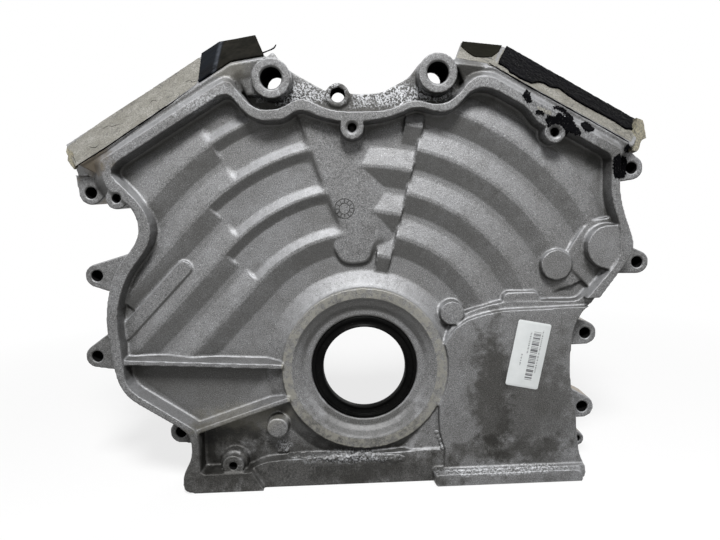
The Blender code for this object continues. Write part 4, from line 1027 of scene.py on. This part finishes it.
def draped_piece(name, outline, finish, thickness=0.0006, raggedness=1.3):
    """Patch inside an outline of pixels that lies on the casting."""
    low_x, high_x = min(x for x, _ in outline) - 1, max(x for x, _ in outline) + 1
    low_y, high_y = min(y for _, y in outline) - 1, max(y for _, y in outline) + 1
    columns = math.ceil((high_x - low_x) / DRAPE_STEP)
    rows = math.ceil((high_y - low_y) / DRAPE_STEP)
    bpy.ops.mesh.primitive_grid_add(x_subdivisions=columns, y_subdivisions=rows, size=2.0)
    patch = bpy.context.object
    patch.name = name
    kept = []
    for vertex in patch.data.vertices:
        x = low_x + (vertex.co.x + 1) / 2 * (high_x - low_x)
        y = high_y - (vertex.co.y + 1) / 2 * (high_y - low_y)
        shake = Vector((x, y, 0.0)) * DRAPE_WAVES
        sway = raggedness * noise.noise(shake)
        place, normal = on_skin((x, y), cast_surface)
        kept.append(bool(place) and inside_outline(x + sway, y - sway, outline))
        lump = max(0.0, noise.noise(shake * 2.2 + Vector((0.0, 0.0, 7.0))))
        if place:
            vertex.co = place + normal * (DRAPE_LIFT + DRAPE_LUMPS * lump)
    drop_faces(patch, kept)
    if sum(face.normal.dot(sight(outline[0])) * face.area for face in patch.data.polygons) > 0:
        patch.data.flip_normals()
    finish_with(patch, "SOLIDIFY", thickness=thickness, offset=1.0)
    soften(patch, 2)
    smooth_shade(patch, 60)
    fasten(patch, finish)


def drop_faces(patch, kept):
    """Deletes the faces with a point that isn't kept, and those across a jump in depth."""
    bpy.ops.object.mode_set(mode="EDIT")
    bpy.ops.mesh.select_all(action="DESELECT")
    bpy.ops.mesh.select_mode(type="FACE")
    bpy.ops.object.mode_set(mode="OBJECT")
    for face in patch.data.polygons:
        places = [patch.data.vertices[index].co for index in face.vertices]
        jump = max((a - b).length for a in places for b in places)
        face.select = jump > DRAPE_JUMP or not all(kept[index] for index in face.vertices)
    bpy.ops.object.mode_set(mode="EDIT")
    bpy.ops.mesh.delete(type="FACE")
    bpy.ops.object.mode_set(mode="OBJECT")


# %% Smears, as outlines in pixels
SMEARS = {
    "smear_upper": [(522, 95), (527, 88), (530, 93), (531, 98), (532, 102), (527, 103.5),
                    (524, 99)],
    "smear_specks": [(534.5, 111), (538.6, 109), (543, 111), (545, 113.5), (543, 116.5),
                     (539.4, 114.5), (536, 114.5)],
    "smear_middle": [(545, 120), (547, 115), (555, 116), (558, 112), (562.5, 115), (567, 117),
                     (573.5, 120), (575.5, 125), (580, 130), (581.5, 136), (574.5, 134.5),
                     (569, 131.5), (566, 136.5), (563.5, 128), (558, 124), (552, 125),
                     (548, 128.5)],
    "smear_streak": [(552, 106.5), (558, 105.5), (564, 108), (568, 112.5), (573.5, 118),
                     (572, 121), (568, 118), (562.5, 113.5), (558.5, 110), (554.5, 109.5)],
    "smear_blob": [(580, 123.5), (585.3, 121), (590, 123.5), (595, 129.5), (592, 132.5),
                   (585, 131.5), (582, 128)],
    "smear_end": [(613.5, 157), (619, 153.5), (624, 156.5), (627, 158.5), (626.5, 168),
                  (625, 177.5), (619, 179), (614, 177), (612.5, 168)],
    "smear_corner": [(623.5, 148), (628, 143), (631, 148.5), (628.5, 153), (624, 153)],
}
CREAM_CHIP = [(486.5, 64), (492.7, 60.5), (497.5, 62.5), (497, 67.5), (491.5, 67)]
CREAM_STREAK = [(536, 106), (545, 108.5), (552, 112), (551, 116), (543, 113), (538, 110)]

cream_lump = sealant_finish("cream_lump", (0.340, 0.318, 0.240), (0.190, 0.172, 0.118), 0.3)
for name, outline in SMEARS.items():
    draped_piece(name, outline, black_torn)
draped_piece("cream_chip", CREAM_CHIP, cream, 0.0004, 0.8)
draped_piece("cream_streak", CREAM_STREAK, cream, 0.0003, 1.6)

# %% [markdown]
# At the outer end of each head face the sealant ran over the edge and hangs there as a thick
# uneven lump. It is a film again, thicker and more ragged, on a plane that leans to the front.

# %% Sealant over the outer ends of the faces
LEFT_END_TURN = Vector((-0.30, -0.92, 0.25)).normalized()
LEFT_END = [(67.2, 148.0), (71.0, 152.0), (75.5, 161.0), (77.0, 166.5), (74.0, 169.0),
            (70.5, 164.0), (68.0, 161.0), (68.5, 156.0), (66.6, 152.0)]
RIGHT_END_TURN = Vector((0.35, -0.90, 0.25)).normalized()
RIGHT_END_SHIFT = Vector((0.0, -0.0055, 0.0))
RIGHT_END = [(635.5, 118.0), (642.0, 120.5), (644.8, 135.6), (645.2, 138.7), (640.6, 141.0),
             (638.2, 147.9), (635.2, 151.6), (630.5, 151.0), (632.0, 143.3), (634.3, 137.1)]

left_place = on_plane((72, 158), *LEFT_FACE)
film_piece("left_end_sealant", LEFT_END, (left_place, LEFT_END_TURN), cream_lump,
           raggedness=0.0006, thickness=0.0020, gap=-0.0016)
right_place = on_plane((637, 131), *RIGHT_FACE) + RIGHT_END_SHIFT
film_piece("end_sealant", RIGHT_END, (right_place, RIGHT_END_TURN), cream_lump,
           raggedness=0.0009, thickness=0.0042, gap=-0.0030)

# %% [markdown]
# ## The shaft seal
#
# The seal is turned about the crankshaft's axis: a rubber-covered case, a thin dust lip in
# front and the sealing lip behind, held by a coil spring. Its section is drawn once as a row
# of points and spun with the spin operator, so that the round edge has no flats.

# %% Spin the seal
SPIN_STEPS = 128
SPIN_MERGE = 0.00002
SEAL_SHINE = 0.03


def spin_section(name, section, finish, node_name):
    """Closed section of (radius, y) points, spun about the crankshaft's axis."""
    bpy.ops.mesh.primitive_circle_add(vertices=len(section), radius=0.01, fill_type="NOTHING")
    ring = bpy.context.object
    ring.name = name
    for vertex, (reach, y) in zip(ring.data.vertices, section):
        vertex.co = (reach, y, CRANK.z)
    bpy.ops.object.mode_set(mode="EDIT")
    bpy.ops.mesh.select_all(action="SELECT")
    bpy.ops.mesh.spin(steps=SPIN_STEPS, angle=2 * math.pi, center=CRANK, axis=(0.0, 1.0, 0.0))
    bpy.ops.mesh.select_all(action="SELECT")
    bpy.ops.mesh.remove_doubles(threshold=SPIN_MERGE)
    bpy.ops.mesh.normals_make_consistent(inside=False)
    bpy.ops.object.mode_set(mode="OBJECT")
    smooth_shade(ring, 38)
    fasten(ring, finish, node_name)


seal_low, seal_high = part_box("crank_seal")
rim = (seal_high.x - seal_low.x) / 2
front = seal_low.y
back = seal_high.y
lip = 0.0350
web = front + 0.0022
groove = lip + 0.0016
SEAL_SECTION = [
    (rim - 0.0008, front), (rim - 0.0002, front + 0.0004), (rim, front + 0.0011), (rim, back),
    (rim - 0.0026, back), (rim - 0.0030, web + 0.0020), (groove + 0.0007, web + 0.0024),
    (groove, back - 0.0056), (groove, back - 0.0030), (groove + 0.0010, back - 0.0024),
    (groove + 0.0003, back - 0.0014), (lip + 0.0008, back - 0.0024), (lip + 0.0001, back - 0.0043),
    (lip, back - 0.0047), (lip + 0.0012, web + 0.0012), (lip + 0.0003, front + 0.0016),
    (lip + 0.0004, front + 0.0012), (lip + 0.0012, front + 0.0009), (lip + 0.0021, web - 0.0006),
    (lip + 0.0030, web), (rim - 0.0034, web), (rim - 0.0030, web - 0.0003),
    (rim - 0.0027, front + 0.0003), (rim - 0.0023, front),
]
seal_rubber, _, shader = rubber_finish("seal_rubber", (0.0015, 0.0015, 0.0015),
                                       (0.005, 0.005, 0.0048), 0.36, 0.10)
shader.inputs["Specular IOR Level"].default_value = SEAL_SHINE
spin_section("shaft_seal", SEAL_SECTION, seal_rubber, "crank_seal")

# %% [markdown]
# The garter spring is a real coil, wound of thin wire and closed to a ring in the groove behind
# the lip. A curve through the turns' points needs no modelling at all, and a section with few
# sides keeps its hundreds of turns light.

# %% Wind the garter spring
SPRING_WIRE = 0.00038
SPRING_TURNS = 420
TURN_POINTS = 9
STEEL_GREY = (0.42, 0.42, 0.43)
TARNISH_BROWN = (0.20, 0.18, 0.15)

spring_low, spring_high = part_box("seal_garter_spring")
spring_depth = (spring_high.y - spring_low.y) / 2
spring_ring = (spring_high.x - spring_low.x) / 2 - spring_depth
steel, tree, shader = start_finish("spring_wire", 0.3, 1.0)
tarnish = spread(noise_on(object_place(tree), 240.0, 4.0), 0.4, 0.7)
join(mix(tarnish, STEEL_GREY, TARNISH_BROWN), shader.inputs["Base Color"])
coil = bpy.data.curves.new("garter_spring", "CURVE")
coil.dimensions = "3D"
coil.bevel_depth = SPRING_WIRE / 2
coil.bevel_resolution = 1
spline = coil.splines.new("POLY")
spline.use_cyclic_u = True
spline.points.add(SPRING_TURNS * TURN_POINTS - 1)
winding = spring_depth - SPRING_WIRE / 2
for index, point in enumerate(spline.points):
    turn = 2 * math.pi * index / (SPRING_TURNS * TURN_POINTS)
    twist = turn * SPRING_TURNS
    reach = spring_ring + winding * math.cos(twist)
    y = (spring_low.y + spring_high.y) / 2 + winding * math.sin(twist)
    point.co = (reach * math.cos(turn), y, CRANK.z + reach * math.sin(turn), 1.0)
fasten(curve_to_mesh("garter_spring", coil), steel, "seal_garter_spring")

# %% [markdown]
# ## The paper label
#
# A white sticker leans on the raised panel. Its print is only hinted at: a band of plain bars
# of uneven width and a few short marks, which say "shelf label" and nothing else. The
# Mapping node turns the bars with the label.

# %% Label finish
LABEL_LEAN = math.radians(12.0)
INK_EDGE = 0.0003
INK_STEP = 0.02
PAPER_DARK = (0.58, 0.605, 0.605)
PAPER_LIGHT = (0.68, 0.70, 0.70)
INK = (0.07, 0.07, 0.075)

label_low, label_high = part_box("part_label")
label_paper, tree, shader = start_finish("label_paper", roughness=0.48)
upright = add_node(tree, "ShaderNodeMapping", vector_type="TEXTURE")
upright.inputs["Location"].default_value = (label_low + label_high) / 2
upright.inputs["Rotation"].default_value = (0.0, LABEL_LEAN, 0.0)
join(object_place(tree), upright.inputs["Vector"])
local = axes_of(upright.outputs[0])


def window(value, low, high):
    """One inside low..high, zero outside."""
    return product(spread(value, low, low + INK_EDGE), spread(value, high, high - INK_EDGE))


def print_bars(first, last, bottom, top, scale, level):
    """Bars across a field of the label, from a noise along its length alone."""
    squeezed = add_node(tree, "ShaderNodeMapping", vector_type="POINT")
    squeezed.inputs["Scale"].default_value = (0.0, 0.0, 1.0)
    join(upright.outputs[0], squeezed.inputs["Vector"])
    bars = noise_on(squeezed.outputs[0], scale, 2.0, 0.5)
    return product(window(local["X"], first, last), window(local["Z"], bottom, top),
                   spread(bars, level, level + INK_STEP))


# %% Print the label: left, right, bottom and top in metres, bars per metre, level
PRINT = ((0.0078, 0.0092, -0.0150, 0.0225, 1500.0, 0.50),
         (-0.0020, -0.0004, 0.0010, 0.0200, 1700.0, 0.50),
         (-0.0060, -0.0046, -0.0100, 0.0000, 1500.0, 0.50))

ink = print_bars(0.0008, 0.0072, -0.0215, 0.0205, 900.0, 0.485)
for row in PRINT:
    ink = calculate("MAXIMUM", ink, print_bars(*row))
creases = noise_on(object_place(tree), 60.0, 5.0, 0.6)
tone = mix(spread(creases, 0.35, 0.7), PAPER_DARK, PAPER_LIGHT)
tone = mix(product(ink, 0.95), tone, INK)
join(tone, shader.inputs["Base Color"])
bump(shader, creases, 0.3, 0.0006)

label = copy_solid("part_label", "paper_label")
finish_with(label, "BEVEL", width=0.00006, segments=2, limit_method="ANGLE")
smooth_shade(label, 40)
fasten(label, label_paper, "part_label")

# %% [markdown]
# ## Small cast details
#
# Some of the casting's details are too fine for the solids: a plain dial of ticks in the middle of
# the wall, whose grooves are drawn as near-black lines of painted shade, the rough strip under the
# ring where flash was left, a lump beside it and a short ridge beside the panel. They are small
# solids, seated on the casting's skin.


# %% Helpers for small solids
def join_pieces(pieces, name):
    """One mesh from several, under a name."""
    make_active(pieces[0])
    for piece in pieces:
        piece.select_set(True)
    bpy.ops.object.join()
    pieces[0].name = name
    return pieces[0]


def seated(place, normal):
    """Matrix that moves a shape to a place, with its Z along the skin's direction there."""
    return Matrix.Translation(place) @ normal.to_track_quat("Z", "Y").to_matrix().to_4x4()


# %% Tick dial
DIAL_PIXEL = (344.5, 208.5)
DIAL_OUTER = 0.0080
DIAL_INNER = 0.0044
DIAL_LINE = 0.00075
DIAL_TICKS = 12
TICK_LENGTH = DIAL_OUTER - DIAL_INNER - 0.0012
GROOVE_SHADE_DARK = (0.016, 0.016, 0.015)
GROOVE_SHADE_LIGHT = (0.085, 0.085, 0.083)

# the dial's lines are painted near black as the shade in its grooves
dial_shade_finish, tree, shader = start_finish("dial_groove_shade", roughness=0.7)
worn_line = spread(noise_on(object_place(tree), 420.0, 3.0), 0.42, 0.60)
join(mix(worn_line, GROOVE_SHADE_DARK, GROOVE_SHADE_LIGHT), shader.inputs["Base Color"])
parts = []
for reach in (DIAL_OUTER, DIAL_INNER):
    bpy.ops.mesh.primitive_torus_add(major_segments=64, minor_segments=8, major_radius=reach,
                                     minor_radius=DIAL_LINE / 2)
    parts.append(bpy.context.object)
middle = (DIAL_OUTER + DIAL_INNER) / 2
lie = Matrix.Translation((middle, 0.0, 0.0)) @ Matrix.Rotation(math.pi / 2, 4, "Y")
for tick in range(DIAL_TICKS):
    bpy.ops.mesh.primitive_cylinder_add(vertices=8, radius=DIAL_LINE / 2, depth=TICK_LENGTH)
    mark = bpy.context.object
    mark.data.transform(Matrix.Rotation(2 * math.pi * tick / DIAL_TICKS, 4, "Z") @ lie)
    parts.append(mark)
dial = join_pieces(parts, "tick_dial")
dial.data.transform(seated(*on_skin(DIAL_PIXEL, cast_surface)))
smooth_shade(dial, 60)
fasten(dial, dial_shade_finish)

# %% Rough strip, lump and ridge, from drops at x and y in pixels, with a radius in mm
LUMP_VOXEL = 0.00055
STRIP_START = (291, 455.0)
STRIP_END = (402, 458.0)
STRIP_DROPS = 34
LUMP_DROPS = [(283.5, 446.5, 4.6), (286.0, 449.5, 3.8), (281.0, 450.5, 3.6)]
RIDGE_DROPS = [(436.5, 432.0, 2.2), (438.0, 436.0, 2.3), (439.5, 440.0, 2.3), (441.0, 444.0, 2.3),
               (442.5, 448.0, 2.4)]


def cast_lump(name, drops, flatness):
    """Lump of the casting itself: flattened balls at the drops, fused by a remesh."""
    squash = Matrix.Diagonal((1.0, 1.0, flatness, 1.0))
    balls = []
    for x, y, size in drops:
        bpy.ops.mesh.primitive_uv_sphere_add(segments=16, ring_count=10, radius=size / 1000)
        ball = bpy.context.object
        ball.data.transform(seated(*on_skin((x, y), cast_surface)) @ squash)
        balls.append(ball)
    lump = join_pieces(balls, name)
    even_skin(lump, LUMP_VOXEL)
    lumpy(lump, 0.0024, 0.0010)
    soften(lump, 2)
    smooth_shade(lump, 180)
    fasten(lump, cast_skin)


strip_drops = []
for step in range(STRIP_DROPS):
    share = step / (STRIP_DROPS - 1)
    x = STRIP_START[0] + (STRIP_END[0] - STRIP_START[0]) * share
    y = STRIP_START[1] + (STRIP_END[1] - STRIP_START[1]) * share + 1.2 * math.sin(step * 2.1)
    strip_drops.append((x, y, 3.6 + 0.8 * math.sin(step * 1.7)))
cast_lump("rough_strip", strip_drops, 0.38)
cast_lump("rough_lump", LUMP_DROPS, 0.40)
cast_lump("short_ridge", RIDGE_DROPS, 0.55)
